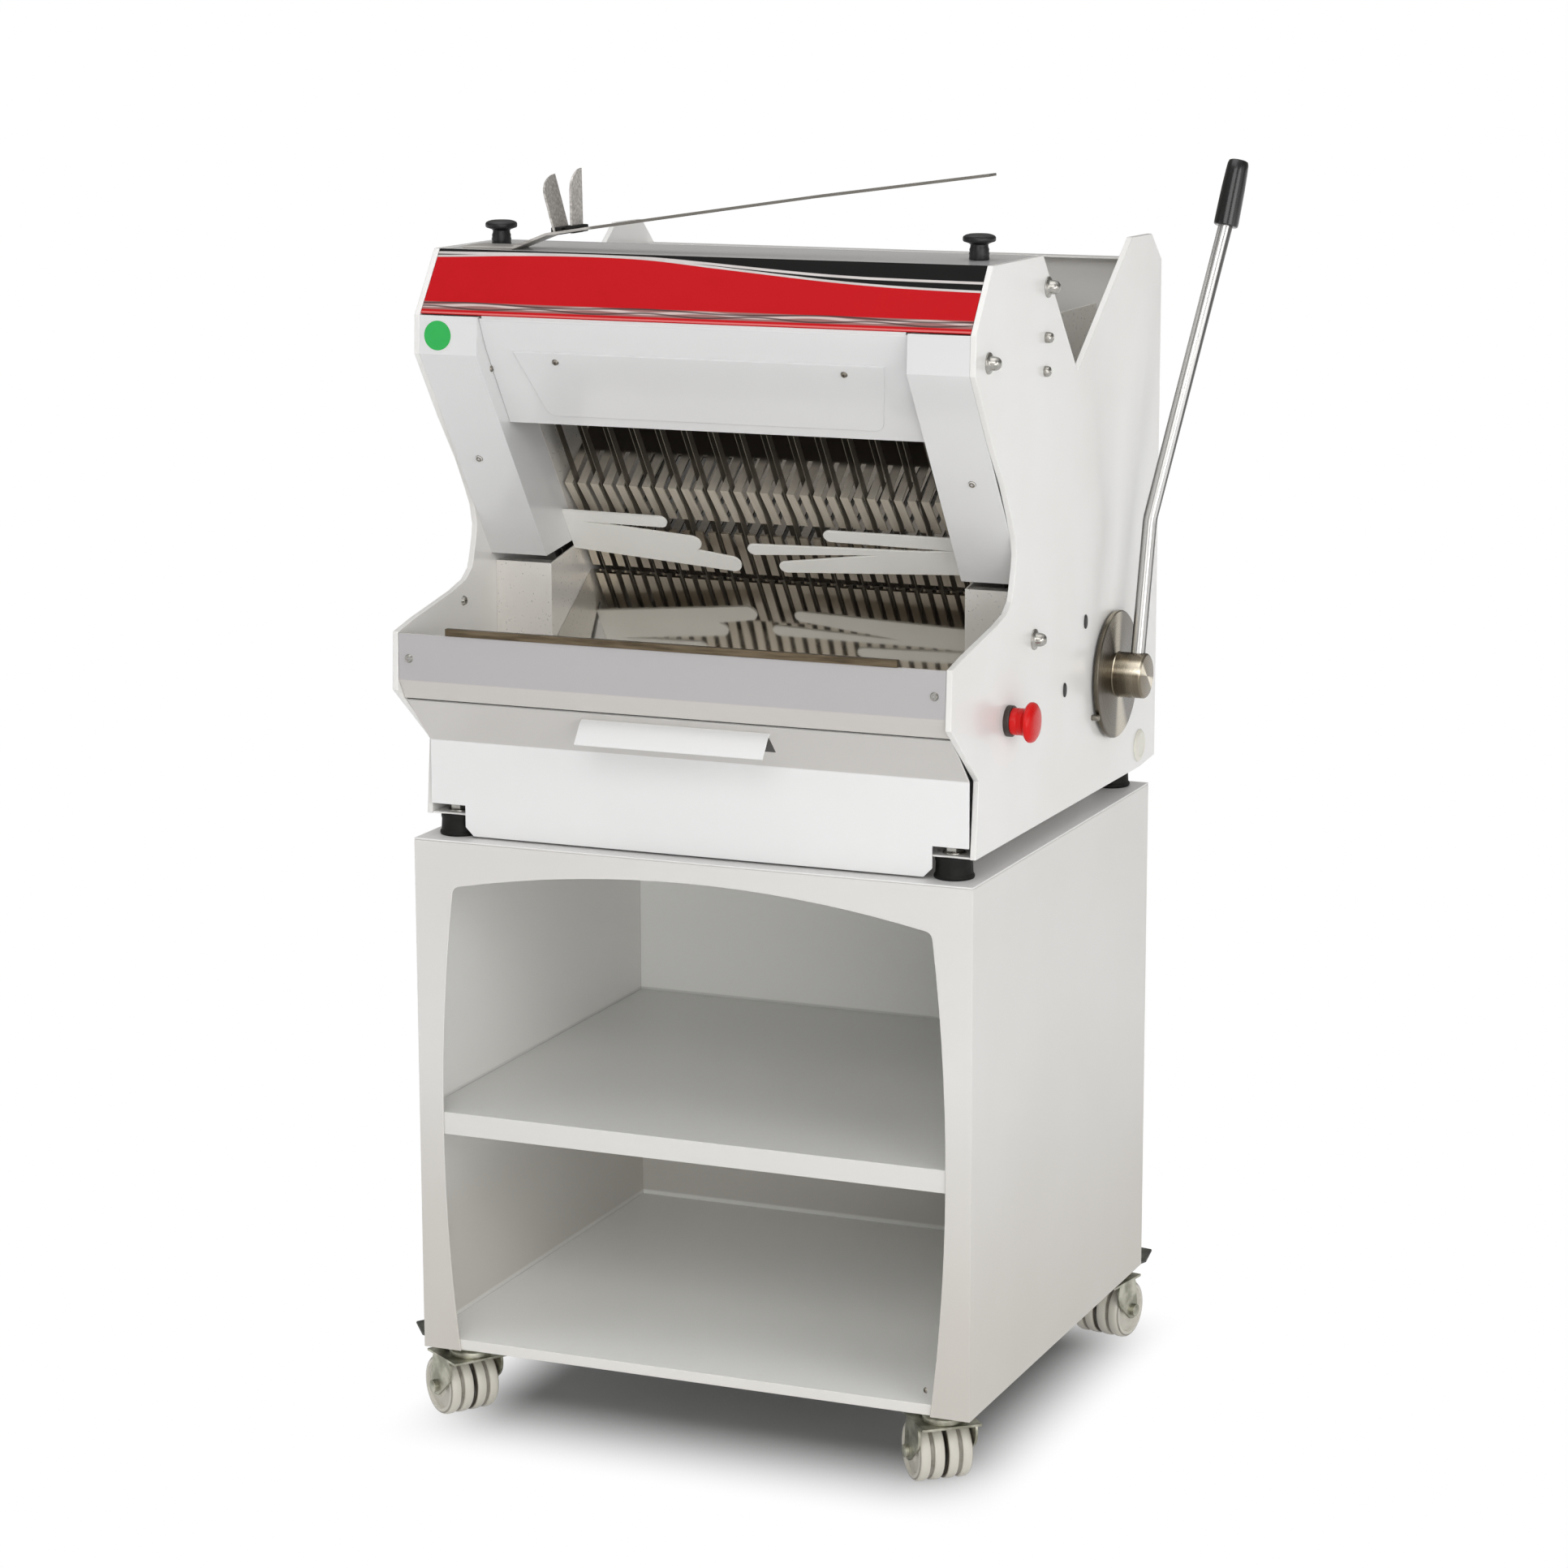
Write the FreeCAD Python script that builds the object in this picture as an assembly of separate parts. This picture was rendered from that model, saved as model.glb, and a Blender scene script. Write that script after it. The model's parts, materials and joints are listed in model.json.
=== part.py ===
"""Frame bread slicer on a wheeled stand, with a hand feed lever.

Drawing frame, in millimetres: x = 0 is the mid plane and +x the lever side, y = 0 is the stand's
front face and +y goes to the rear, z = 0 lies a caster's swivel height under the stand box.
The blade plane leans forward. A point on it is (s, t): s runs up along the blades, t goes back
and up across them, in the direction in which the loaf lies on the chute.
At the end every piece moves so that the origin is the bottom centre of the whole slicer.
"""
import FreeCAD
import Part
import math
import os

V = FreeCAD.Vector

# ---- common sheet, fits and clearances -------------------------------------------------------
sheet = 2.0                 # steel sheet of stand, covers and tray
seat_gap = 0.3              # gap left between neighbouring sheet parts
run_fit = 0.05              # radial clearance of a shaft in its bore
screw_r = 3.6               # small screw heads
screw_h = 1.4

# ---- stand ------------------------------------------------------------------------------------
stand_half = 300.0
stand_depth = 540.0
stand_base = 72.0           # underside of the stand box
stand_top = 610.0
shelf_top = 325.5
shelf_lip = 23.5            # the lip hangs down from the shelf's top
floor_top = 84.0
floor_lip = 11.2
jamb_foot_half = 258.0      # half opening at the floor, at mid height and at the upper corners
jamb_bow_half = 273.0
jamb_bow_z = 322.0
jamb_head_half = 257.5
jamb_head_z = 561.5
crown_z = 588.0
frame_corner_r = 9.0

# ---- casters ------------------------------------------------------------------------------------
caster_drop = 79.0          # from the ground to the stand's underside
caster_x = 262.0
caster_front_y = 30.0
caster_rear_y = 510.0
caster_yaw = {"fl": 55.0, "fr": 40.0, "rl": 20.0, "rr": -10.0}
caster_plate = 48.0
caster_plate_t = 3.0
kingpin_r = 5.0
kingpin_head_r = 8.5
kingpin_head_h = 2.0
swivel_head_r = 19.0
wheel_r = 31.5
wheel_w = 27.0
wheel_gap = 2.4             # between the two wheels of one caster
wheel_face_in = 2.0         # recess of the wheel's outer face
wheel_groove = 1.6
wheel_rim_r = 23.0
wheel_hub_r = 8.0
axle_r = 4.0
trail = 20.0
fork_t = 2.5
fork_side_gap = 0.6
fork_web_rise = 33.5        # web underside above the axle
fork_front = 24.0
fork_back = 37.0
fork_toe_r = 10.0
axle_head_r = 6.5
axle_head_h = 4.0
pedal_y = 30.0
pedal_pin_r = 2.0
pedal_sleeve_r = 4.8
pedal_half = 15.5
pedal_t = 3.0
pedal_reach = 48.0
pedal_tip_run = 13.0
pedal_tip_rise = 9.0

# ---- slicer body --------------------------------------------------------------------------------
body_half = 295.0
panel_t = 6.0
foot_r = 20.0
foot_inset_x = 267.0
foot_front_y = 37.0
foot_rear_y = 512.0
foot_h = 22.0
foot_nut_r = 10.0
foot_nut_h = 10.0
base_front_y = 22.0
cover_y = 572.0
cover_top_z = 1166.0
cover_band = 20.0
hopper_front_y = 200.0      # the V notch of the side panels
hopper_foot = (306.0, 1073.0)
hopper_rear_y = 474.0
panel_top_z = 1197.0
hood_top_z = 1196.0
fascia_foot = (13.0, 1135.0)
fascia_head = (59.0, 1197.0)
pillar_foot = (162.0, 878.0)
pillar_head = (11.0, 1097.0)
channel_half = 226.0        # inner faces of the bread channel
inner_sheet = [(82.0, 1024.0), (30.0, 1103.0), (16.0, 1133.0)]
guard_plate_z = (1034.0, 1101.0)
guard_plate_half = (178.0, 196.0)
guard_plate_round = 12.0
guard_plate_t = 1.5
pillar_screw_inset = 25.0
pillar_screw_z = 985.0
pillar_inner = [(60.0, 1134.0), (90.0, 1097.0)]
pillar_low = (75.0, -3.0)    # lower end of the pillar's inner sheet, up and across the blade plane

# ---- tray, lip and drawer -----------------------------------------------------------------------
tray_z = 784.0
tray_front_y = -44.0
box_front_y = 172.0         # front faces of the lower side boxes
box_top_z = 869.0
wall_top_z = 1117.0
wall_rear_y = 560.0
wall_rear_z = 985.0
wall_s = (68.0, 268.0)       # the wall's edge along the blades, and how far before them it lies
wall_t = -2.7
wall_foot = [(-20.0, 290.0), (-20.0, 12.0)]
lip_top_z = 827.0
lip_fold_z = 780.0
lip_back = (-33.0, 761.0)
strip_half = (236.0, 240.0)
strip_h = 7.0
strip_t = 4.0
drawer_lean_z = 708.0       # the drawer front leans out above this height
drawer_edge = (-30.0, 757.0)
drawer_bottom_z = 612.0
drawer_half = 244.0
drawer_lift = 12.0          # of the drawer's box above the base plate
drawer_box_h = 54.0
drawer_rear_y = 335.0
drawer_notch = (251.0, 643.0)
drawer_chamfer = 9.0
handle_half = 100.0
handle_drop = (-43.0, 728.0)
handle_knee = (6.0, 3.0)
handle_share = 0.86         # how far up the sloping head the handle flap starts
runner_x = 226.0
runner_w = 14.0

# ---- blades ---------------------------------------------------------------------------------------
lean = 35.0                 # of the blade plane from the vertical, and of the chute from the level
blade_foot = (282.0, 828.0) # foot of the blade plane, from which s and t are counted
floor_s = 27.0              # height of the chute floor and of the tray's slide up the blade plane
pitch = 14.5                # between neighbouring blades: one slice
blades = 30
blade_t = 0.8
blade_w = 10.0
blade_bevel = 2.2
blade_low = -65.0
blade_high = 290.0
bar_h = 14.0
bar_low = -72.0
bar_high = 283.0
bar_t = 13.0
front_frame_t = 0.0
rear_frame_t = 15.0
bar_half = 272.0
upright_in = 236.0
upright_w = 12.0
guide_x = 262.0
guide_r = 4.0
guide_low = -95.0
guide_high = 318.0
guide_end = 12.0
stroke = 12.0

# ---- pusher, press comb, chute, hopper ------------------------------------------------------------
pad_w = 8.5
pad_t = 3.0
pad_low = 33.0
pad_high = 88.0
fin_t = 2.4
fin_inset = 4.0             # a fin ends this far below the top of its pad
fin_foot = [(-14.0, 22.0), (-40.0, 42.0), (-40.0, 54.0), (-4.0, 44.0), (26.0, 22.0)]
slot_w = 5.0
slot_back = 180.0
chute_start = 31.0
chute_end = 300.0
chute_rise_z = 1110.0
beam_r = 10.0
beam_st = (-45.0, 48.0)
shaft_st = (-148.0, 70.0)
arm_x = 208.0
arm_t = 8.0
arm_rim = 5.0               # wall of the arm round the beam
shaft_r = 10.0
arm_boss_r = 17.0
comb_tip = (97.0, 9.0)
comb_nose = (148.0, 0.0)
comb_hinge = (162.0, 150.0)
comb_slot_back = 48.0
comb_slot_w = 6.0
comb_rod_r = 6.0
comb_sleeve_r = 9.0
hopper_low = (172.0, 160.0)

# ---- finger guards: (x, s) outlines and round noses, with their roots at the channel walls ---------
guard_front = -16.5
guard_t = 2.5
guard_root_left = (124.3, 72.0)
guard_left = [(-117.0, 122.3), (-117.0, 108.2), (-207.0, 110.0), (-117.0, 100.0), (-88.0, 97.0),
              (-88.0, 78.6), (-50.0, 71.5), (-50.0, 52.2)]
guard_noses_left = [(-117.0, 115.2, 7.1), (-88.0, 87.8, 9.2), (-50.0, 61.8, 9.65)]
guard_root_right = (115.0, 67.0)
guard_right = [(68.5, 116.0), (68.5, 101.0), (165.7, 99.0), (200.0, 98.0), (165.7, 95.0), (-20.5, 91.3),
               (-20.5, 76.7), (89.0, 84.5), (110.0, 85.5), (89.0, 82.0), (9.5, 69.2), (9.5, 54.4)]
guard_noses_right = [(68.5, 108.5, 7.5), (-20.5, 84.0, 7.3), (9.5, 61.8, 7.4)]

# ---- drive ----------------------------------------------------------------------------------------
crank_st = (-165.0, 14.0)
crank_r = 10.0
throw = 12.0
eccentric_r = 24.0
eccentric_w = 16.0
front_throw_x = -32.0
rear_throw_x = 16.0
rod_clear = 5.0             # the open end of each connecting rod clears the eccentric by this
rod_w = 12.0
pulley_x = 42.0
pulley_w = 16.0
crank_pulley_r = 36.0
motor_pulley_r = 18.0
motor_axis = (490.0, 690.0)
motor_r = 50.0
motor_x = (-170.0, 30.0)
motor_shaft_r = 7.0
motor_foot = (110.0, 11.0)
belt_t = 4.0
bearing_x = 90.0
bearing_t = 12.0
bearing_half = 20.0

# ---- lever ----------------------------------------------------------------------------------------
disc_r = 66.5
disc_gap = 2.0              # between the right panel and the disc
disc_t = 6.0
hub_r = 23.5
hub_l = 31.0               # of the hub beyond the disc
rod_r = 7.5
rod_out = 27.0              # the rod, the grip's foot and its head, all from the panel's outer face
rod_bend_yz = (463.5, 905.0)
grip_foot_at = (80.0, 538.0, 1203.0)
grip_head_at = (88.0, 555.0, 1270.0)
grip_r = (12.0, 10.5)
rod_socket = 13.0           # the rod starts this far from the shaft's axis
stop_r = 3.0
stop_clear = 1.5
stop_dir = (-61.3, -35.8)

# ---- small fittings ---------------------------------------------------------------------------------
estop_yz = (108.0, 753.0)
estop_collar_r = 23.0
estop_collar_h = 12.0
estop_stem_r = 9.0
estop_head_r = 20.0
estop_head_t = 15.0
estop_rim_t = 10.0
estop_crown_r = 16.0
estop_travel = 4.0
knob_xy = (255.0, 128.0)
knob_stem_r = 10.0
knob_stem_h = 15.0
knob_r = 16.0
knob_h = 10.0
knob_crown_r = 13.0
knob_crown_h = 3.0
guide_strip_y = 96.0
guide_strip_w = 40.0
guide_tip_w = 20.0
guide_strip_t = 2.6
guide_path = [(-272.0, 1196.0), (-219.0, 1196.0), (-180.0, 1211.0), (-24.0, 1235.0), (101.0, 1253.5),
              (280.0, 1278.0)]
leaf_t = 2.0
leaf_sheets = [((-173.0, 1211.0), (-189.0, 1269.0), 34.0), ((-157.0, 1213.0), (-158.0, 1276.0), 26.0)]
leaf_shape = [(0.0, 0.0), (1.0, 0.0), (1.0, 1.0), (0.74, 0.985), (0.46, 0.94), (0.22, 0.87), (0.06, 0.78),
              (0.0, 0.68)]   # shares of the leaf's width, from the front, and of its height
oval_plugs = [(338.0, 815.0), (275.0, 755.0)]
plug_size = (3.2, 12.0)
blind_cap = (519.0, 654.0, 17.5)
cap_nuts = [(214.4, 1164.2), (47.3, 1106.3), (183.4, 821.2)]
cap_profile = [(0.0, 10.5), (1.5, 10.5), (2.6, 7.6), (7.0, 6.4), (10.5, 5.0), (12.5, 2.2)]
side_bolts = [(209.8, 1115.6, 7.5), (207.2, 1082.8, 6.4)]
side_bolt_r = 5.4
inner_bolt = (97.3, 837.7, 3.0)

# ---- values that follow from the sizes above --------------------------------------------------------
panel_in = body_half - panel_t
disc_x = body_half + disc_gap
hub_end_x = disc_x + disc_t + hub_l
rod_x = body_half + rod_out
rod_bend = (rod_x,) + rod_bend_yz
grip_foot = (body_half + grip_foot_at[0],) + grip_foot_at[1:]
grip_head = (body_half + grip_head_at[0],) + grip_head_at[1:]
pillar_screw = (panel_in - pillar_screw_inset, pillar_screw_z)
inner_half = channel_half - seat_gap
cover_half = panel_in - seat_gap
ground_z = stand_base - caster_drop
axle_z = ground_z + wheel_r
base_top_z = stand_top + foot_h + sheet
drawer_box_bottom_z = base_top_z + drawer_lift
drawer_box_top_z = drawer_box_bottom_z + drawer_box_h
lean_sin = math.sin(math.radians(lean))
lean_cos = math.cos(math.radians(lean))
blade_x = [(i - (blades - 1) / 2.0) * pitch for i in range(blades)]
lane_x = [(i - blades / 2.0) * pitch for i in range(blades + 1)]


# ---- helpers ----------------------------------------------------------------------------------------
def slant(s, t):
    """(y, z) of a point given along and across the blade plane."""
    return (blade_foot[0] - s * lean_sin + t * lean_cos, blade_foot[1] + s * lean_cos + t * lean_sin)


def box(x0, x1, y0, y1, z0, z1):
    """Box between two corners."""
    return Part.makeBox(x1 - x0, y1 - y0, z1 - z0, V(x0, y0, z0))


def prism(points, direction):
    """Closed outline of vectors, pushed along a vector."""
    wire = Part.makePolygon(points + [points[0]])
    return Part.Face(wire).extrude(direction)


def profile_x(outline, x0, x1):
    """(y, z) outline, extruded from x0 to x1."""
    return prism([V(x0, y, z) for y, z in outline], V(x1 - x0, 0, 0))


def slant_x(outline, x0, x1):
    """(s, t) outline, extruded from x0 to x1."""
    return profile_x([slant(s, t) for s, t in outline], x0, x1)


def slant_box(x0, x1, s0, s1, t0, t1):
    """Box that lies along the blade plane."""
    return slant_x([(s0, t0), (s1, t0), (s1, t1), (s0, t1)], x0, x1)


def rod(start, end, radius):
    """Round bar between two points."""
    axis = end - start
    return Part.makeCylinder(radius, axis.Length, start, axis)


def disc_on_x(x0, x1, y, z, radius):
    """Round bar along x."""
    return rod(V(x0, y, z), V(x1, y, z), radius)


def strip(path, thickness):
    """Outline of a bent sheet: the path and its mitred offset to the left of travel."""
    sides = []
    for (ay, az), (by, bz) in zip(path, path[1:]):
        length = math.hypot(by - ay, bz - az)
        sides.append((-(bz - az) / length, (by - ay) / length))
    offset = []
    for i, (py, pz) in enumerate(path):
        before = sides[max(i - 1, 0)]
        after = sides[min(i, len(sides) - 1)]
        share = thickness / (1.0 + before[0] * after[0] + before[1] * after[1])
        offset.append((py + (before[0] + after[0]) * share, pz + (before[1] + after[1]) * share))
    return path + offset[::-1]


def fuse(shapes):
    """One solid from several that meet or overlap."""
    return shapes[0].multiFuse(shapes[1:]).removeSplitter()


def cut(shape, tools):
    """Shape less every tool."""
    return shape.cut(tools).removeSplitter()


def mirror(shape):
    """The same piece on the other side of the mid plane."""
    return shape.mirror(V(0, 0, 0), V(1, 0, 0))


def hull_plate(a, ra, b, rb, x0, x1):
    """Plate round two circles in the yz plane, joined by their outer tangents."""
    dy = b[0] - a[0]
    dz = b[1] - a[1]
    along = math.atan2(dz, dy)
    spread = math.acos((ra - rb) / math.hypot(dy, dz))

    def touch(c, r, angle):
        return V(x0, c[0] + r * math.cos(angle), c[1] + r * math.sin(angle))

    up_a = touch(a, ra, along + spread)
    up_b = touch(b, rb, along + spread)
    low_a = touch(a, ra, along - spread)
    low_b = touch(b, rb, along - spread)
    edges = [Part.makeLine(up_a, up_b), Part.Arc(up_b, touch(b, rb, along), low_b).toShape(),
             Part.makeLine(low_b, low_a), Part.Arc(low_a, touch(a, ra, along + math.pi), up_a).toShape()]
    return Part.Face(Part.Wire(edges)).extrude(V(x1 - x0, 0, 0))


nodes = {}


# ---- stand ------------------------------------------------------------------------------------------
def stand_front_frame():
    """Face frame: a wide opening with bowed sides and an arched head."""
    def at(x, z):
        return V(x, 0, z)

    half = stand_half
    start = at(-jamb_foot_half, stand_base)
    head_left = at(-jamb_head_half, jamb_head_z)
    head_right = at(jamb_head_half, jamb_head_z)
    end = at(jamb_foot_half, stand_base)
    edges = [Part.Arc(start, at(-jamb_bow_half, jamb_bow_z), head_left).toShape(),
             Part.Arc(head_left, at(0, crown_z), head_right).toShape(),
             Part.Arc(head_right, at(jamb_bow_half, jamb_bow_z), end).toShape(),
             Part.makeLine(end, at(half, stand_base)),
             Part.makeLine(at(half, stand_base), at(half, stand_top - sheet)),
             Part.makeLine(at(half, stand_top - sheet), at(-half, stand_top - sheet)),
             Part.makeLine(at(-half, stand_top - sheet), at(-half, stand_base)),
             Part.makeLine(at(-half, stand_base), start)]
    frame = Part.Face(Part.Wire(edges)).extrude(V(0, sheet, 0))
    corners = [e for e in frame.Edges if e.Length < sheet * 1.01
               and abs(e.Vertexes[0].Z - jamb_head_z) < seat_gap]
    return frame.makeFillet(frame_corner_r, corners)


def stand_box():
    """Sides, back, top, shelf and floor pan of the stand."""
    side = box(stand_half - sheet, stand_half, sheet, stand_depth - sheet, stand_base, stand_top - sheet)
    nodes["stand_right_side"] = side
    nodes["stand_left_side"] = mirror(side)
    nodes["stand_back"] = box(-stand_half, stand_half, stand_depth - sheet, stand_depth, stand_base,
                              stand_top - sheet)
    nodes["stand_top"] = box(-stand_half, stand_half, 0, stand_depth, stand_top - sheet, stand_top)
    nodes["stand_front_frame"] = stand_front_frame()
    inner = stand_half - sheet - seat_gap
    front = sheet + seat_gap
    back = stand_depth - sheet - seat_gap
    shelf = strip([(front, shelf_top - shelf_lip), (front, shelf_top), (back, shelf_top)], -sheet)
    nodes["stand_shelf"] = profile_x(shelf, -inner, inner)
    pan = box(-inner, inner, front, back, floor_top - floor_lip, floor_top)
    hollow = box(-inner + sheet, inner - sheet, front + sheet, back - sheet,
                 floor_top - floor_lip, floor_top - sheet)
    nodes["stand_floor"] = pan.cut(hollow)


# ---- casters ----------------------------------------------------------------------------------------
def place_caster(shape, key):
    """Turn a caster piece to its yaw and set it under its corner."""
    x = caster_x if key[1] == "r" else -caster_x
    y = caster_front_y if key[0] == "f" else caster_rear_y
    placed = shape.copy()
    placed.rotate(V(0, 0, 0), V(0, 0, 1), caster_yaw[key])
    placed.translate(V(x, y, 0))
    return placed


def wheel_pair():
    """Two grooved wheels on one sleeve, revolved about the axle."""
    half = wheel_w + wheel_gap / 2.0
    mid = wheel_gap / 2.0 + wheel_w / 2.0
    groove_r = wheel_r - wheel_groove
    right = [(wheel_gap / 2.0, wheel_hub_r), (wheel_gap / 2.0, wheel_r), (mid - wheel_groove, wheel_r),
             (mid - wheel_groove, groove_r), (mid + wheel_groove, groove_r), (mid + wheel_groove, wheel_r),
             (half, wheel_r), (half, wheel_rim_r), (half - wheel_face_in, wheel_rim_r),
             (half - wheel_face_in, wheel_hub_r), (half, wheel_hub_r)]
    left = [(-x, r) for x, r in right][::-1]
    bore = axle_r + run_fit
    outline = [(-half, bore)] + left + right + [(half, bore)]
    face = Part.Face(Part.makePolygon([V(x, r, 0) for x, r in outline + outline[:1]]))
    wheels = face.revolve(V(0, 0, 0), V(1, 0, 0), 360)
    wheels.translate(V(0, trail, axle_z))
    return wheels


def caster_fork():
    """Swivel head, web, two legs, axle and the lugs of the brake pedal."""
    leg_in = wheel_w + wheel_gap / 2.0 + fork_side_gap
    leg_out = leg_in + fork_t
    web_z = axle_z + fork_web_rise
    web_top = web_z + fork_t
    plate_z = floor_top - sheet - caster_plate_t
    web = box(-leg_out, leg_out, -fork_front, fork_back, web_z, web_top)
    shape = [web, Part.makeCylinder(swivel_head_r, plate_z - seat_gap - web_top, V(0, 0, web_top))]
    toe = hull_plate((trail, axle_z), fork_toe_r, (trail * 0.35, web_z - fork_toe_r), fork_toe_r * 2.0,
                     leg_in, leg_out)
    for leg in (toe, mirror(toe)):
        shape.append(leg.common(box(-leg_out, leg_out, -fork_front, fork_back, ground_z, web_top)))
    shape.append(disc_on_x(-leg_in, leg_in, trail, axle_z, axle_r))
    for side in (-1, 1):
        outer = side * (leg_out + axle_head_h)
        shape.append(disc_on_x(min(side * leg_out, outer), max(side * leg_out, outer), trail, axle_z,
                               axle_head_r))
        lug_in = pedal_half + seat_gap
        lug = box(lug_in, lug_in + fork_t, pedal_y - pedal_sleeve_r, fork_back, web_top,
                  web_top + 2.0 * pedal_sleeve_r + seat_gap)
        shape.append(lug if side > 0 else mirror(lug))
    pin_z = web_top + seat_gap + pedal_sleeve_r
    shape.append(disc_on_x(-pedal_half - fork_t, pedal_half + fork_t, pedal_y, pin_z, pedal_pin_r))
    bore = Part.makeCylinder(kingpin_r + run_fit, plate_z - web_z + fork_t, V(0, 0, web_z - fork_t / 2.0))
    return cut(fuse(shape), [bore])


def caster_pedal():
    """Foot pedal of the brake: a sleeve with a tongue that turns up at its tip."""
    pin_z = axle_z + fork_web_rise + fork_t + seat_gap + pedal_sleeve_r
    end_y = pedal_y + pedal_reach
    path = [(pedal_y, pin_z + pedal_t / 2.0), (end_y, pin_z - pedal_t), (end_y + pedal_tip_run,
            pin_z - pedal_t + pedal_tip_rise)]
    tongue = profile_x(strip(path, -pedal_t), -pedal_half, pedal_half)
    sleeve = disc_on_x(-pedal_half, pedal_half, pedal_y, pin_z, pedal_sleeve_r)
    pin = disc_on_x(-pedal_half, pedal_half, pedal_y, pin_z, pedal_pin_r + run_fit)
    return cut(fuse([sleeve, tongue]), [pin])


def casters():
    """Four swivelling twin wheels, each with its plate, fork, wheels and pedal."""
    plate_z = floor_top - sheet - caster_plate_t
    half = caster_plate / 2.0
    plate = box(-half, half, -half, half, plate_z, plate_z + caster_plate_t)
    pin_low = axle_z + fork_web_rise - kingpin_head_h
    pin = Part.makeCylinder(kingpin_r, plate_z - pin_low, V(0, 0, pin_low))
    mount = fuse([plate, pin])
    wheels = wheel_pair()
    fork = caster_fork()
    pedal = caster_pedal()
    mounts = []
    for key in caster_yaw:
        flat = mount.copy()
        flat.translate(V(caster_x if key[1] == "r" else -caster_x,
                         caster_front_y if key[0] == "f" else caster_rear_y, 0))
        mounts.append(flat)
        nodes["caster_wheels_" + key] = place_caster(wheels, key)
        nodes["caster_fork_" + key] = place_caster(fork, key)
        nodes["caster_pedal_" + key] = place_caster(pedal, key)
    nodes["caster_plates"] = Part.makeCompound(mounts)


# ---- slicer body ------------------------------------------------------------------------------------
def panel_outline():
    """Outline of a side panel: swept front, V notch of the hopper, chamfered rear."""
    return [(20, 632), (28, 708), (-49, 770), (-46, 828), (-10, 836), (34, 844), (74, 851),
            (103, 858.5), (117, 868.5), (121.6, 879), (128, 900), (130, 912), (125, 932), (115, 950),
            (94, 983.5), (57, 1031), pillar_head, fascia_foot, (58, panel_top_z),
            (hopper_front_y, panel_top_z - 1), hopper_foot, (hopper_rear_y, 1194), (540, 1193),
            (574, 1164), (574, 634), (525, 630)]


def side_panels():
    """Two panels. The lever's shaft runs through the right one and ends inside the left one."""
    shaft = slant(*shaft_st)
    right = profile_x(panel_outline(), panel_in, body_half)
    left = mirror(right)
    through = disc_on_x(panel_in - panel_t, body_half + panel_t, shaft[0], shaft[1], shaft_r + run_fit)
    blind = disc_on_x(-panel_in - panel_t * 0.75, -panel_in + panel_t, shaft[0], shaft[1],
                      shaft_r + run_fit)
    nodes["side_panel_right"] = cut(right, [through])
    nodes["side_panel_left"] = cut(left, [blind])


def feet_and_base():
    """Rubber feet, the base plate with the drawer's runners, and the foot nuts."""
    feet = []
    nuts = []
    for x in (-foot_inset_x, foot_inset_x):
        for y in (foot_front_y, foot_rear_y):
            feet.append(Part.makeCone(foot_r, foot_r * 0.88, foot_h, V(x, y, stand_top)))
            corners = [V(x + foot_nut_r * math.cos(math.radians(a)),
                         y + foot_nut_r * math.sin(math.radians(a)), base_top_z) for a in range(0, 360, 60)]
            nuts.append(prism(corners, V(0, 0, foot_nut_h)))
    nodes["rubber_feet"] = Part.makeCompound(feet)
    plate = box(-panel_in, panel_in, base_front_y, cover_y - sheet, base_top_z - sheet, base_top_z)
    runner = box(runner_x, runner_x + runner_w, base_front_y + sheet, drawer_rear_y, base_top_z,
                 drawer_box_bottom_z - seat_gap)
    nodes["base_plate"] = fuse([plate, runner, mirror(runner)])
    return nuts


def hood():
    """Pillars, fascia, top and inner sheet of the hood over the blades."""
    face = strip([pillar_foot, pillar_head, fascia_foot], -sheet)
    front = profile_x(face, channel_half, panel_in)
    inner = profile_x([pillar_foot, pillar_head, fascia_foot] + pillar_inner + [slant(*pillar_low)],
                      channel_half, channel_half + sheet)
    screw = disc_on_pillar(pillar_screw[0], pillar_screw[1])
    right = fuse([front, inner])
    nodes["hood_pillar_right"] = fuse([right, screw])
    nodes["hood_pillar_left"] = mirror(nodes["hood_pillar_right"])
    rise = (fascia_head[0] - fascia_foot[0]) / (fascia_head[1] - fascia_foot[1])
    foot = (fascia_foot[0] + sheet * rise, fascia_foot[1] + sheet)
    slope = strip([foot, fascia_head], -sheet)
    nodes["fascia_plate"] = profile_x(slope, -cover_half, cover_half)
    top = strip([(fascia_head[0] + sheet + seat_gap, hood_top_z), (hopper_front_y - sheet, hood_top_z),
                 (hopper_front_y - sheet, hood_top_z - cover_band)], -sheet)
    nodes["hood_top"] = profile_x(top, -panel_in, panel_in)
    back = profile_x(strip(inner_sheet, -sheet), -inner_half, inner_half)
    nodes["hood_inner_panel"] = fuse([back, guard_plate()])


def disc_on_pillar(x, z):
    """Screw head lying on the pillar's sloping face."""
    share = (z - pillar_foot[1]) / (pillar_head[1] - pillar_foot[1])
    y = pillar_foot[0] + share * (pillar_head[0] - pillar_foot[0])
    run = V(0, pillar_head[0] - pillar_foot[0], pillar_head[1] - pillar_foot[1])
    normal = V(0, -run.z, run.y)
    normal.normalize()
    return Part.makeCylinder(screw_r, screw_h, V(x, y, z), normal)


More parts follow.
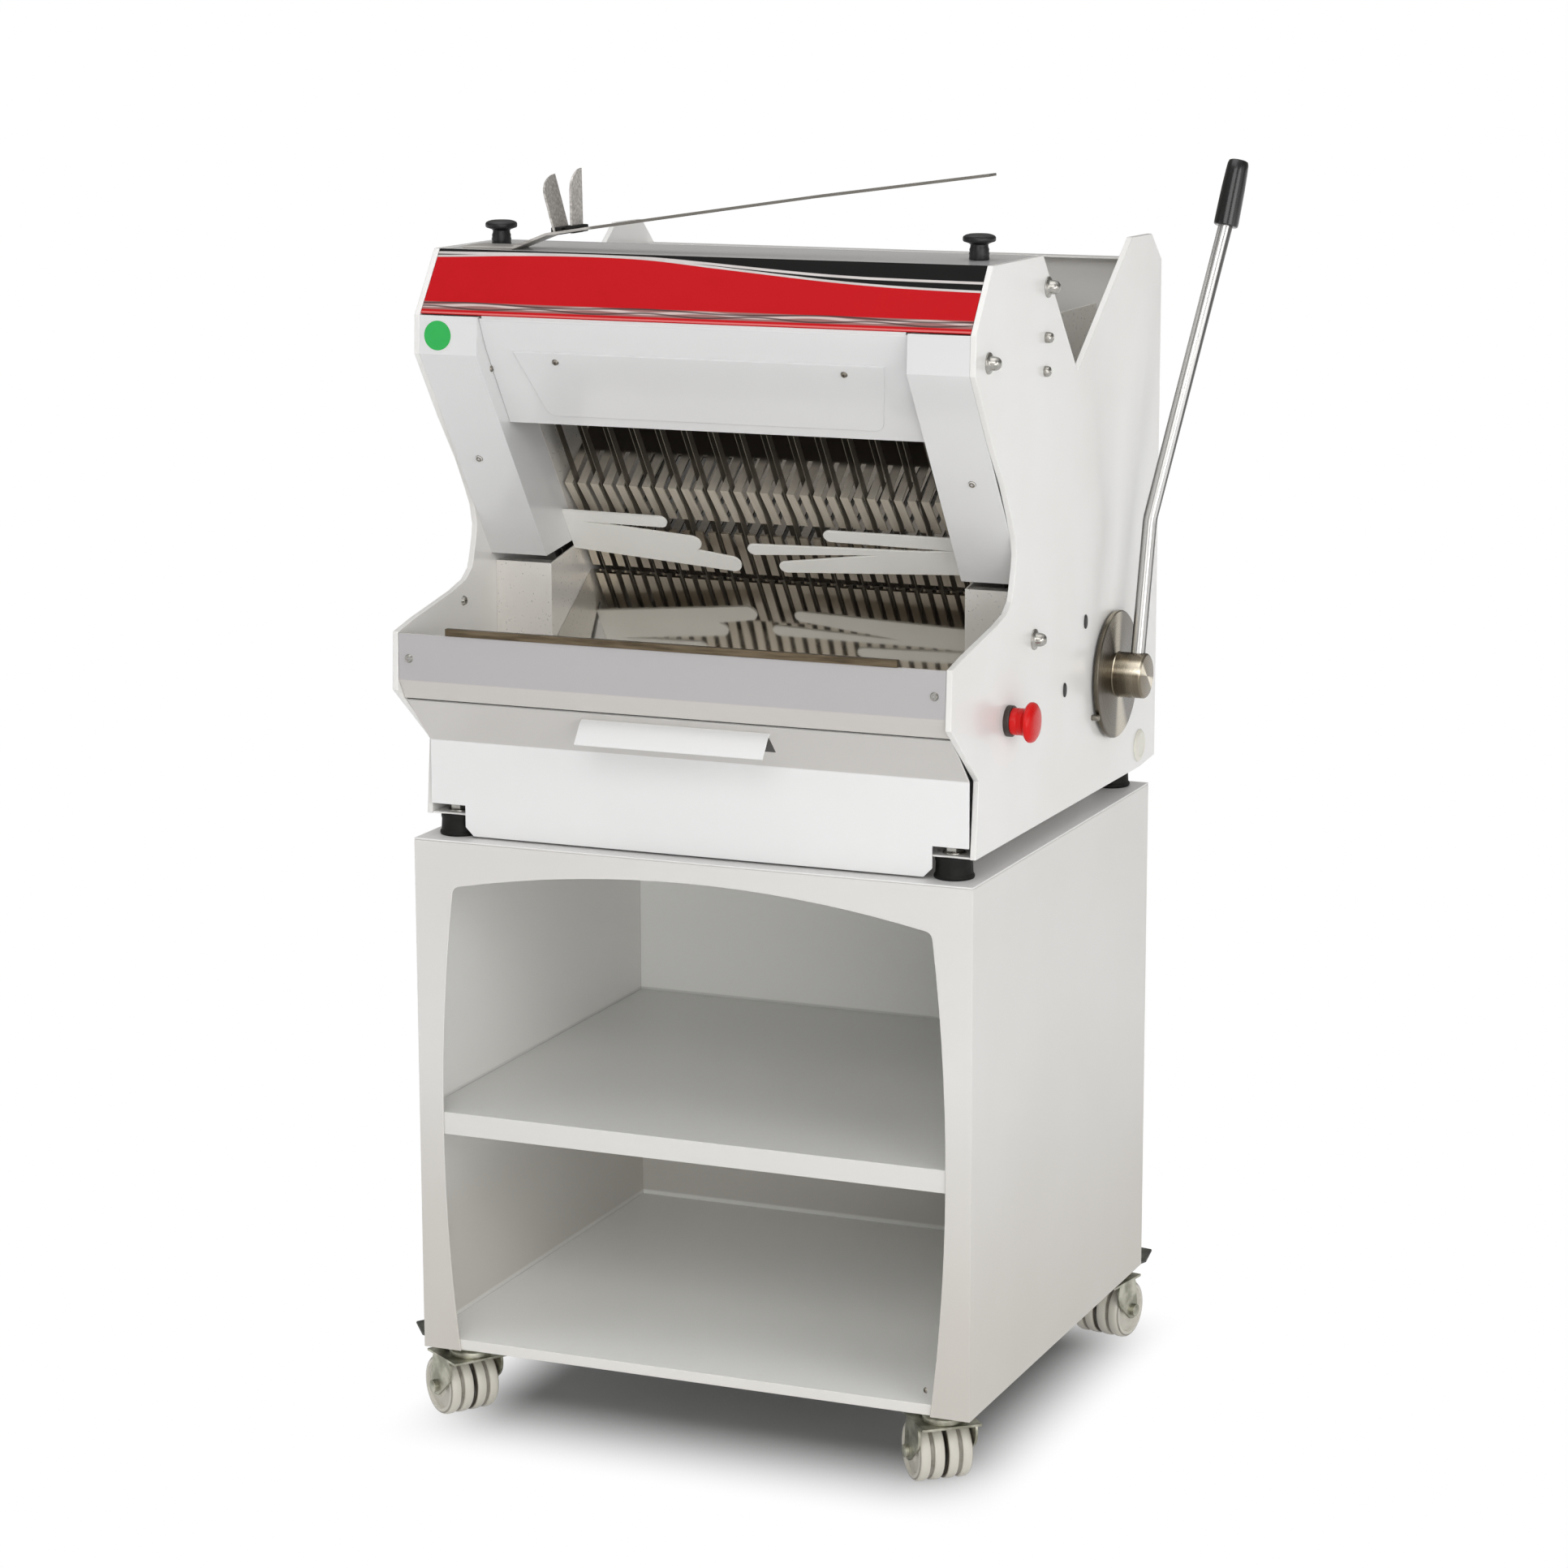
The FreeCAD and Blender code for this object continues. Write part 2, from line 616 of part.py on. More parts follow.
def guard_plate():
    """Trapezoid plate screwed on the inner sheet above the blades."""
    (y0, z0), (y1, z1) = inner_sheet[0], inner_sheet[1]
    run = V(0, y1 - y0, z1 - z0)
    normal = V(0, -run.z, run.y)
    normal.normalize()
    corners = []
    for z, half in zip(guard_plate_z, guard_plate_half):
        y = y0 + (z - z0) / (z1 - z0) * (y1 - y0)
        corners.append((half, y, z))
    (low_half, low_y, low_z), (high_half, high_y, high_z) = corners
    outline = [V(-low_half, low_y, low_z), V(low_half, low_y, low_z), V(high_half, high_y, high_z),
               V(-high_half, high_y, high_z)]
    plate = prism(outline, normal * guard_plate_t)
    middle = sum(guard_plate_z) / 2.0
    low_edges = [e for e in plate.Edges if e.Length < guard_plate_t * 1.01 and e.CenterOfMass.z < middle]
    return plate.makeFillet(guard_plate_round, low_edges)


def rear_cover():
    """Rear sheet with a band folded forward at its top."""
    path = [(cover_y, base_top_z), (cover_y, cover_top_z), (cover_y - cover_band, cover_top_z)]
    nodes["rear_cover"] = profile_x(strip(path, sheet), -panel_in, panel_in)


# ---- bread channel, tray, lip -----------------------------------------------------------------------
def side_boxes():
    """Channel walls with the box faces that close the corners beside the tray."""
    outline = [(box_front_y, tray_z), (box_front_y, box_top_z), slant(wall_s[0], wall_t),
               slant(wall_s[1], wall_t), slant(wall_s[1], chute_start), (hopper_front_y, wall_top_z),
               (wall_rear_y, wall_top_z), (wall_rear_y, wall_rear_z), slant(*wall_foot[0]),
               slant(*wall_foot[1]), slant(0, 0)]
    wall = profile_x(outline, channel_half, channel_half + sheet)
    face = strip([(box_front_y, tray_z), (box_front_y, box_top_z), (box_front_y + cover_band, box_top_z)],
                 -sheet)
    front = profile_x(face, channel_half, panel_in)
    nodes["side_box_right"] = fuse([wall, front])
    nodes["side_box_left"] = mirror(nodes["side_box_right"])


def output_tray():
    """Polished tray: floor, slide up to the blades, front wall and its edge strip."""
    wide = box(-cover_half, cover_half, tray_front_y, box_front_y - seat_gap, tray_z - sheet, tray_z)
    bend_y = box_front_y - seat_gap
    slope = strip([(bend_y - cover_band, tray_z), (bend_y, tray_z), slant(floor_s, 0)], -sheet)
    slide = profile_x(slope, -inner_half, inner_half)
    front = box(-cover_half, cover_half, tray_front_y, tray_front_y + sheet, tray_z - sheet, lip_top_z)
    edge = box(-strip_half[0], strip_half[1], tray_front_y - strip_t, tray_front_y, lip_top_z + seat_gap,
               lip_top_z + seat_gap + strip_h)
    tongue = box(-strip_half[0], strip_half[1], tray_front_y, tray_front_y + sheet, lip_top_z,
                 lip_top_z + seat_gap + strip_h)
    nodes["output_tray"] = fuse([wide, slide, front, edge, tongue])


def lip_panel():
    """Folded panel under the tray's edge, with a screw at each end."""
    outer_y = tray_front_y - seat_gap
    path = [(outer_y, lip_top_z), (outer_y, lip_fold_z), lip_back]
    panel = profile_x(strip(path, -sheet), -cover_half, cover_half)
    screws = []
    for x in (-cover_half + 11.5, cover_half - 11.5):
        screws.append(rod(V(x, outer_y - sheet, 802), V(x, outer_y - sheet - screw_h, 802), screw_r))
    nodes["lip_panel"] = fuse([panel] + screws)


def finger_guards():
    """Stepped guards with long round-nosed fingers that hold the slices in front of the blades."""
    def guard(outline, noses):
        points = [V(x, *slant(s, guard_front)) for x, s in outline]
        depth = V(0, guard_t * lean_cos, guard_t * lean_sin)
        plate = prism(points, depth)
        ends = [Part.makeCylinder(r, guard_t, V(x, *slant(s, guard_front)), depth) for x, s, r in noses]
        return fuse([plate] + ends)

    top, low = guard_root_left
    left = [(-inner_half, top)] + guard_left + [(-inner_half, low)]
    top, low = guard_root_right
    right = [(inner_half, top)] + guard_right + [(inner_half, low)]
    nodes["finger_guard_left"] = guard(left, guard_noses_left)
    nodes["finger_guard_right"] = guard(right, guard_noses_right)


def chute_and_hopper():
    """Slotted chute floor with its upright end, and the front plate of the hopper."""
    end = slant(floor_s, chute_end)
    floor = profile_x(strip([slant(floor_s, chute_start), end, (end[0], chute_rise_z)], -sheet),
                      -inner_half, inner_half)
    half = slot_w / 2.0
    slots = [slant_box(x - half, x + half, floor_s - sheet * 2.0, floor_s + sheet, chute_start - sheet,
                       slot_back)
             for x in lane_x]
    nodes["chute_floor"] = cut(floor, slots)
    top = (hopper_front_y + seat_gap, panel_top_z - 3.0)
    low = slant(*hopper_low)
    share = (top[1] - wall_top_z - sheet) / (top[1] - low[1])
    middle = (top[0] + share * (low[0] - top[0]), top[1] + share * (low[1] - top[1]))
    wide = profile_x(strip([top, middle], -sheet), -panel_in, panel_in)
    narrow = profile_x(strip([middle, low], -sheet), -inner_half, inner_half)
    nodes["hopper_plate"] = fuse([wide, narrow])


# ---- blades and their drive -------------------------------------------------------------------------
def blade_set(first, t0):
    """Every second blade, from a strip with a bevelled cutting edge on the loaf's side."""
    flat = t0 + blade_w - blade_bevel
    half = blade_t / 2.0
    set_of_blades = []
    for x in blade_x[first::2]:
        section = [V(x - half, *slant(blade_low, t0)), V(x + half, *slant(blade_low, t0)),
                   V(x + half, *slant(blade_low, flat)), V(x, *slant(blade_low, t0 + blade_w)),
                   V(x - half, *slant(blade_low, flat))]
        length = blade_high - blade_low
        set_of_blades.append(prism(section, V(0, -length * lean_sin, length * lean_cos)))
    return set_of_blades


def blade_frame(t0, rod_x0, blade_solids):
    """Top and bottom bars, uprights, guide bores, blade seats and the stub of the connecting rod."""
    t1 = t0 + bar_t
    top = slant_box(-bar_half, bar_half, bar_high, bar_high + bar_h, t0, t1)
    bottom = slant_box(-bar_half, bar_half, bar_low, bar_low + bar_h, t0, t1)
    upright = slant_box(upright_in, upright_in + upright_w, bar_low, bar_high + bar_h, t0, t1)
    reach = crank_st[0] + throw + eccentric_r + throw + rod_clear
    rod_part = slant_box(rod_x0 - rod_w / 2.0, rod_x0 + rod_w / 2.0, reach, bar_low + bar_h, t0, t1)
    body = fuse([top, bottom, upright, mirror(upright), rod_part])
    guides = []
    for x in (-guide_x, guide_x):
        guides.append(rod(V(x, *slant(guide_low, t0 + bar_t / 2.0)),
                          V(x, *slant(guide_high, t0 + bar_t / 2.0)), guide_r + run_fit))
    return cut(body, guides + blade_solids)


def blades_and_frames():
    """Two blade frames that work against each other, each with half of the blades."""
    margin = (bar_t - blade_w) / 2.0
    front = blade_set(0, front_frame_t + margin)
    rear = blade_set(1, rear_frame_t + margin)
    nodes["blades_front"] = Part.makeCompound(front)
    nodes["blades_rear"] = Part.makeCompound(rear)
    nodes["blade_frame_front"] = blade_frame(front_frame_t, front_throw_x, front)
    nodes["blade_frame_rear"] = blade_frame(rear_frame_t, rear_throw_x, rear)


def guides_and_bearings():
    """Guide rods with their end blocks, the comb's hinge rod and the crankshaft's pedestals."""
    shapes = []
    block_in = guide_x - guide_r * 3.0
    for low in (guide_low - guide_end, guide_high):
        shapes.append(slant_box(block_in, panel_in, low, low + guide_end, -sheet, rear_frame_t + bar_t + sheet))
    for t0 in (front_frame_t, rear_frame_t):
        t = t0 + bar_t / 2.0
        shapes.append(rod(V(guide_x, *slant(guide_low - sheet, t)), V(guide_x, *slant(guide_high + sheet, t)),
                          guide_r))
    right = fuse(shapes)
    hinge = slant(*comb_hinge)
    comb_rod = disc_on_x(-channel_half, channel_half, hinge[0], hinge[1], comb_rod_r)
    crank = slant(*crank_st)
    bore = disc_on_x(-bearing_x - bearing_t, bearing_x + bearing_t, crank[0], crank[1], crank_r + run_fit)
    stand_foot = box(bearing_x, bearing_x + bearing_t, crank[0] - bearing_half, crank[0] + bearing_half,
                     base_top_z, crank[1])
    round_top = disc_on_x(bearing_x, bearing_x + bearing_t, crank[0], crank[1], bearing_half)
    bearing = cut(fuse([stand_foot, round_top]), [bore])
    nodes["guide_rods"] = Part.makeCompound([right, mirror(right), comb_rod, bearing, mirror(bearing)])


def drive():
    """Crankshaft with two opposed eccentrics, motor, pulleys and belt."""
    crank = slant(*crank_st)
    end = bearing_x + bearing_t + sheet
    parts = [disc_on_x(-end, end, crank[0], crank[1], crank_r)]
    for x, sign in ((front_throw_x, 1.0), (rear_throw_x, -1.0)):
        centre = slant(crank_st[0] + sign * throw, crank_st[1])
        parts.append(disc_on_x(x - eccentric_w / 2.0, x + eccentric_w / 2.0, centre[0], centre[1],
                               eccentric_r))
    parts.append(disc_on_x(pulley_x, pulley_x + pulley_w, crank[0], crank[1], crank_pulley_r))
    nodes["crankshaft"] = fuse(parts)
    motor_end = motor_x[1] + seat_gap
    shaft = disc_on_x(motor_x[1], pulley_x + pulley_w, motor_axis[0], motor_axis[1], motor_shaft_r)
    case = disc_on_x(motor_x[0], motor_x[1], motor_axis[0], motor_axis[1], motor_r)
    foot = box(motor_x[0] + cover_band, motor_x[1] - cover_band, motor_axis[0] - motor_foot[0] / 2.0,
               motor_axis[0] + motor_foot[0] / 2.0, base_top_z, base_top_z + motor_foot[1])
    nodes["motor"] = fuse([case, foot, shaft])
    pulley = disc_on_x(pulley_x, pulley_x + pulley_w, motor_axis[0], motor_axis[1], motor_pulley_r)
    nodes["motor_pulley"] = pulley.cut(disc_on_x(motor_end, pulley_x + pulley_w * 2.0, motor_axis[0],
                                                 motor_axis[1], motor_shaft_r + run_fit))
    x0 = pulley_x + seat_gap
    x1 = pulley_x + pulley_w - seat_gap
    inside = seat_gap
    outside = seat_gap + belt_t
    outer = hull_plate(crank, crank_pulley_r + outside, motor_axis, motor_pulley_r + outside, x0, x1)
    inner = hull_plate(crank, crank_pulley_r + inside, motor_axis, motor_pulley_r + inside, x0, x1)
    nodes["drive_belt"] = outer.cut(inner)


# ---- pusher and press comb --------------------------------------------------------------------------
def pusher_comb():
    """One pad and one thin fin in each lane, on a tube that two clamped arms hang on the lever's shaft."""
    parts = []
    fin = [(pad_high - fin_inset, pad_t - 1), (pad_low + 2, pad_t - 1)] + fin_foot + [(pad_high - fin_inset, 7)]
    for x in lane_x:
        parts.append(slant_box(x - pad_w / 2.0, x + pad_w / 2.0, pad_low, pad_high, 0, pad_t))
        parts.append(slant_x(fin, x - fin_t / 2.0, x + fin_t / 2.0))
    beam = slant(*beam_st)
    shaft = slant(*shaft_st)
    end = lane_x[-1] + fin_t
    parts.append(disc_on_x(-end, end, beam[0], beam[1], beam_r))
    arm = hull_plate(beam, beam_r + arm_rim, shaft, arm_boss_r, arm_x - arm_t, arm_x)
    beam_bore = disc_on_x(arm_x - arm_t * 2.0, arm_x + arm_t, beam[0], beam[1], beam_r + run_fit)
    shaft_bore = disc_on_x(arm_x - arm_t * 2.0, arm_x + arm_t, shaft[0], shaft[1], shaft_r + run_fit)
    arm = cut(arm, [beam_bore, shaft_bore])
    return Part.makeCompound([fuse(parts), arm, mirror(arm)])


def press_comb():
    """Folded sheet slotted for the blades, on a sleeve that lifts about the hinge rod."""
    hinge = slant(*comb_hinge)
    meet = (comb_hinge[0] - comb_sleeve_r * 0.1, comb_hinge[1] - comb_sleeve_r * 0.85)
    half = lane_x[-1] + pad_w / 2.0
    sheet_part = slant_x(strip([comb_tip, comb_nose, meet], sheet), -half, half)
    sleeve = disc_on_x(-half, half, hinge[0], hinge[1], comb_sleeve_r)
    bore = disc_on_x(-half, half, hinge[0], hinge[1], comb_rod_r + run_fit)
    gap = comb_slot_w / 2.0
    slots = [slant_box(x - gap, x + gap, comb_tip[0] - sheet * 2.0, comb_nose[0] + cover_band,
                       -sheet * 4.0, comb_slot_back) for x in blade_x]
    return cut(cut(fuse([sheet_part, sleeve]), [bore]), slots)


# ---- lever ------------------------------------------------------------------------------------------
def lever():
    """Shaft through both panels, disc and hub, bent rod and grip."""
    shaft = slant(*shaft_st)
    y, z = shaft
    nodes["lever_shaft"] = disc_on_x(-panel_in - panel_t * 0.6, hub_end_x - disc_t * 2.0, y, z, shaft_r)
    disc = disc_on_x(disc_x, disc_x + disc_t, y, z, disc_r)
    hub = disc_on_x(disc_x + disc_t, hub_end_x, y, z, hub_r)
    body = fuse([disc, hub])
    shaft_bore = disc_on_x(disc_x - disc_t, hub_end_x - disc_t * 2.0 + seat_gap, y, z, shaft_r + run_fit)
    root = V(rod_x, y, z)
    bend = V(*rod_bend)
    lean_dir = (bend - root).normalize()
    start = root + lean_dir * rod_socket
    socket = rod(start - lean_dir * seat_gap, bend, rod_r + run_fit)
    nodes["lever_hub"] = cut(body, [shaft_bore, socket])
    foot = V(*grip_foot)
    head = V(*grip_head)
    arm = fuse([rod(start, bend, rod_r), Part.makeSphere(rod_r, bend), rod(bend, head, rod_r)])
    nodes["lever_rod"] = arm
    axis = head - foot
    grip = Part.makeCone(grip_r[0], grip_r[1], axis.Length + rod_r, foot, axis)
    core = rod(bend, head, rod_r + run_fit)
    nodes["lever_grip"] = grip.cut(core)


# ---- drawer, fittings ---------------------------------------------------------------------------------
def crumb_drawer():
    """Drawer front with notched foot and sloping head, its hanging handle flap and the box behind."""
    notch_x, notch_z = drawer_notch
    front_y = base_front_y - sheet * 2.0
    outline = [V(-cover_half, front_y, notch_z), V(-notch_x, front_y, notch_z),
               V(-notch_x, front_y, drawer_bottom_z + drawer_chamfer),
               V(-notch_x + drawer_chamfer, front_y, drawer_bottom_z),
               V(notch_x - drawer_chamfer, front_y, drawer_bottom_z),
               V(notch_x, front_y, drawer_bottom_z + drawer_chamfer), V(notch_x, front_y, notch_z),
               V(cover_half, front_y, notch_z), V(cover_half, front_y, drawer_lean_z),
               V(-cover_half, front_y, drawer_lean_z)]
    face = prism(outline, V(0, sheet, 0))
    slope = profile_x(strip([(front_y, drawer_lean_z - sheet), (front_y, drawer_lean_z), drawer_edge], -sheet),
                      -cover_half, cover_half)
    root = (front_y + handle_share * (drawer_edge[0] - front_y),
            drawer_lean_z + handle_share * (drawer_edge[1] - drawer_lean_z))
    inside_root = (root[0] + sheet * 0.4, root[1] + sheet * 0.4)
    knee = (root[0] - handle_knee[0], root[1] - handle_knee[1])
    flap = profile_x(strip([inside_root, knee, handle_drop], sheet), -handle_half, handle_half)
    body = box(-drawer_half, drawer_half, front_y + sheet, drawer_rear_y, drawer_box_bottom_z,
               drawer_box_top_z)
    inside = box(-drawer_half + sheet, drawer_half - sheet, front_y + sheet * 2.0, drawer_rear_y - sheet,
                 drawer_box_bottom_z + sheet, drawer_box_top_z + sheet)
    nodes["crumb_drawer"] = fuse([face, slope, flap, body.cut(inside)])


def emergency_stop():
    """Collar on the right panel and the mushroom button that pushes in."""
    y, z = estop_yz
    collar = disc_on_x(body_half, body_half + estop_collar_h, y, z, estop_collar_r)
    bore = disc_on_x(body_half, body_half + estop_collar_h * 2.0, y, z, estop_stem_r + run_fit)
    nodes["estop_base"] = collar.cut(bore)
    head_x = body_half + estop_collar_h + estop_travel + seat_gap
    stem = disc_on_x(body_half + estop_travel + seat_gap, head_x, y, z, estop_stem_r)
    rim = disc_on_x(head_x, head_x + estop_rim_t, y, z, estop_head_r)
    crown = disc_on_x(head_x + estop_rim_t, head_x + estop_head_t, y, z, estop_crown_r)
    nodes["estop_button"] = fuse([stem, rim, crown])


def knobs():
    """Two turning knobs on the hood, each a mushroom head on a stem."""
    x, y = knob_xy
    stem = Part.makeCylinder(knob_stem_r, knob_stem_h, V(x, y, hood_top_z + seat_gap))
    head_z = hood_top_z + seat_gap + knob_stem_h
    head = Part.makeCylinder(knob_r, knob_h - knob_crown_h, V(x, y, head_z))
    crown = Part.makeCylinder(knob_crown_r, knob_h, V(x, y, head_z))
    nodes["knob_right"] = fuse([stem, head, crown])
    nodes["knob_left"] = mirror(nodes["knob_right"])


def bag_guide():
    """Long rising strip on the hood that carries the two leaves of the bag holder."""
    path = strip(guide_path, guide_strip_t)
    points = [V(x, guide_strip_y - guide_strip_w / 2.0, z) for x, z in path]
    band = prism(points, V(0, guide_strip_w, 0))
    root_x = guide_path[2][0]
    tip_x = guide_path[-1][0] + guide_strip_t * 3.0
    half = guide_strip_w / 2.0
    tip = guide_tip_w / 2.0
    start_x = guide_path[0][0] - guide_strip_t
    plan = [V(start_x, guide_strip_y - half, hood_top_z - sheet), V(root_x, guide_strip_y - half, hood_top_z - sheet),
            V(tip_x, guide_strip_y - tip, hood_top_z - sheet), V(tip_x, guide_strip_y + tip, hood_top_z - sheet),
            V(root_x, guide_strip_y + half, hood_top_z - sheet), V(start_x, guide_strip_y + half, hood_top_z - sheet)]
    band = band.common(prism(plan, V(0, 0, guide_path[-1][1])))
    leaves = []
    for low, high, width in leaf_sheets:
        run = V(high[0] - low[0], 0, high[1] - low[1])
        side = V(run.z, 0, -run.x)
        side.normalize()
        foot = V(low[0], guide_strip_y - width / 2.0, low[1])
        points = [foot + V(0, across * width, 0) + run * up for across, up in leaf_shape]
        leaves.append(prism(points, side * leaf_t))
    nodes["bag_guide"] = fuse([band] + leaves)


def side_fasteners(nuts):
    """Foot nuts, the lever's stop pin, plugs, blind cap, cap nuts and bolt heads on the panels."""
    parts = list(nuts)
    shaft = slant(*shaft_st)
    away = math.hypot(*stop_dir)
    reach = disc_r + stop_r + stop_clear
    stop_y = shaft[0] + stop_dir[0] / away * reach
    stop_z = shaft[1] + stop_dir[1] / away * reach
    parts.append(disc_on_x(body_half, disc_x + disc_t, stop_y, stop_z, stop_r))
    for y, z in oval_plugs:
        parts.append(hull_plate((y, z - plug_size[1] / 4.0), plug_size[0], (y, z + plug_size[1] / 4.0),
                                plug_size[0] * 0.98, body_half, body_half + sheet))
    parts.append(Part.makeCone(blind_cap[2], blind_cap[2] - sheet, sheet * 1.5,
                               V(body_half, blind_cap[0], blind_cap[1]), V(1, 0, 0)))
    for y, z in cap_nuts:
        nut = cap_nut(y, z)
        parts += [nut, mirror(nut)]
    for y, z, height in side_bolts:
        bolt = disc_on_x(body_half, body_half + height, y, z, side_bolt_r)
        parts += [bolt, mirror(bolt)]
    y, z, height = inner_bolt
    bolt = disc_on_x(panel_in - height, panel_in, y, z, side_bolt_r)
    parts += [bolt, mirror(bolt)]
    nodes["side_fasteners"] = Part.makeCompound(parts)


def cap_nut(y, z):
    """Domed nut with a wide flange on the right panel, revolved about its screw."""
    outline = [V(body_half, y, z)] + [V(body_half + x, y + r, z) for x, r in cap_profile]
    outline.append(V(body_half + cap_profile[-1][0], y, z))
    return Part.Face(Part.makePolygon(outline + outline[:1])).revolve(V(body_half, y, z), V(1, 0, 0), 360)


# ---- whole slicer -------------------------------------------------------------------------------------
stand_box()
casters()
side_panels()
foot_nuts = feet_and_base()
hood()
rear_cover()
side_boxes()
output_tray()
lip_panel()
finger_guards()
chute_and_hopper()
blades_and_frames()
guides_and_bearings()
drive()
nodes["pusher_comb"] = pusher_comb()
nodes["press_comb"] = press_comb()
lever()
crumb_drawer()
emergency_stop()
knobs()
bag_guide()
side_fasteners(foot_nuts)

extent = FreeCAD.BoundBox()
for shape in nodes.values():
    extent.add(shape.BoundBox)
origin = V(-(extent.XMin + extent.XMax) / 2.0, -(extent.YMin + extent.YMax) / 2.0, -extent.ZMin)
os.makedirs("parts", exist_ok=True)
for name, shape in nodes.items():
    placed = shape.copy()
    placed.translate(origin)
    placed.exportStep("parts/" + name + ".step")
print("origin shift", origin, "size", extent.XLength, extent.YLength, extent.ZLength, "nodes", len(nodes))
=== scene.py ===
"""Frame bread slicer with a hand feed lever, on a sheet steel stand with four twin wheel casters."""
import json
import math

import bmesh
import bpy
from mathutils import Matrix, Vector

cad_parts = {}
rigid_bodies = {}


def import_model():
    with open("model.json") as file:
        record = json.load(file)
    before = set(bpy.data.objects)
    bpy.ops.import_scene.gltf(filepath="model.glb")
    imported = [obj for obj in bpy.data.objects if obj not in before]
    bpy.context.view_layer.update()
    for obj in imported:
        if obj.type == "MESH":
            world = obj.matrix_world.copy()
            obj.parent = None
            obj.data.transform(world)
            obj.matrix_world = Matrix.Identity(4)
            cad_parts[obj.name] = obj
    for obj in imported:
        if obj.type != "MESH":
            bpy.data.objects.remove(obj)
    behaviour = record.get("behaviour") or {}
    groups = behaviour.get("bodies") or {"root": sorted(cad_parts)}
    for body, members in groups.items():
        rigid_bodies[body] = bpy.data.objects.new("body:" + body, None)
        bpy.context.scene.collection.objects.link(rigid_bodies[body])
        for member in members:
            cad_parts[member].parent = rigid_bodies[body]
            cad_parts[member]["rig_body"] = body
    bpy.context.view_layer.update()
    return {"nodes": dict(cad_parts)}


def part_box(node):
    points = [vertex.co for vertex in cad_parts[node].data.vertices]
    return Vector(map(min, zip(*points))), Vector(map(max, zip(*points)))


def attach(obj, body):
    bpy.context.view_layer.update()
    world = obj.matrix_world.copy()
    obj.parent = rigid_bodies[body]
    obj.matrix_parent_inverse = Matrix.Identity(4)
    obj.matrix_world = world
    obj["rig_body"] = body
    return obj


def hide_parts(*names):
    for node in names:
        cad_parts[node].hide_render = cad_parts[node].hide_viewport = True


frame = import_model()

# ---- workshop floor, light and camera ------------------------------------------------------------
# The slicer stands on a plain pale floor under wide soft lamps. A shadow is painted on the floor under and
# beside the stand. Measures are in millimetres from the stand: x from its mid plane, y back from its front
# face, z with the stand's lid at 610.
lid_low, lid_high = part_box("stand_top")
drawing = (Matrix.Translation(((lid_low.x + lid_high.x) / 2, lid_low.y, lid_high.z - 0.610))
           @ Matrix.Scale(0.001, 4))


def at(x, y, z):
    """A point of the slicer, in metres."""
    return drawing @ Vector((x, y, z))


def shade(red, green, blue):
    """A colour as a screen shows it, in the linear values that Blender reads."""
    return tuple((c / 255 / 12.92 if c < 11 else ((c / 255 + 0.055) / 1.055) ** 2.4)
                 for c in (red, green, blue)) + (1.0,)


class Amount:
    """A number that changes over a surface. Python's operators add the Math nodes."""

    def __init__(self, finish, socket):
        self.finish = finish
        self.socket = socket

    def math(self, operation, *values):
        return self.finish.node("ShaderNodeMath", {"operation": operation}, dict(enumerate(values)))

    def __add__(self, other):
        return self.math("ADD", self, other)

    def __sub__(self, other):
        return self.math("SUBTRACT", self, other)

    def __rsub__(self, other):
        return self.math("SUBTRACT", other, self)

    def __mul__(self, other):
        return self.math("MULTIPLY", self, other)

    def __truediv__(self, other):
        return self.math("DIVIDE", self, other)

    def __rtruediv__(self, other):
        return self.math("DIVIDE", other, self)

    def __pow__(self, other):
        return self.math("POWER", self, other)

    def __abs__(self):
        return self.math("ABSOLUTE", self)

    __radd__ = __add__
    __rmul__ = __mul__

    def rise(self, start, end):
        """0 below start, 1 above end, smooth between them. It falls where end is the smaller."""
        return self.finish.node("ShaderNodeMapRange", {"interpolation_type": "SMOOTHSTEP"},
                                {0: self, 1: start, 2: end, 3: 0.0, 4: 1.0})


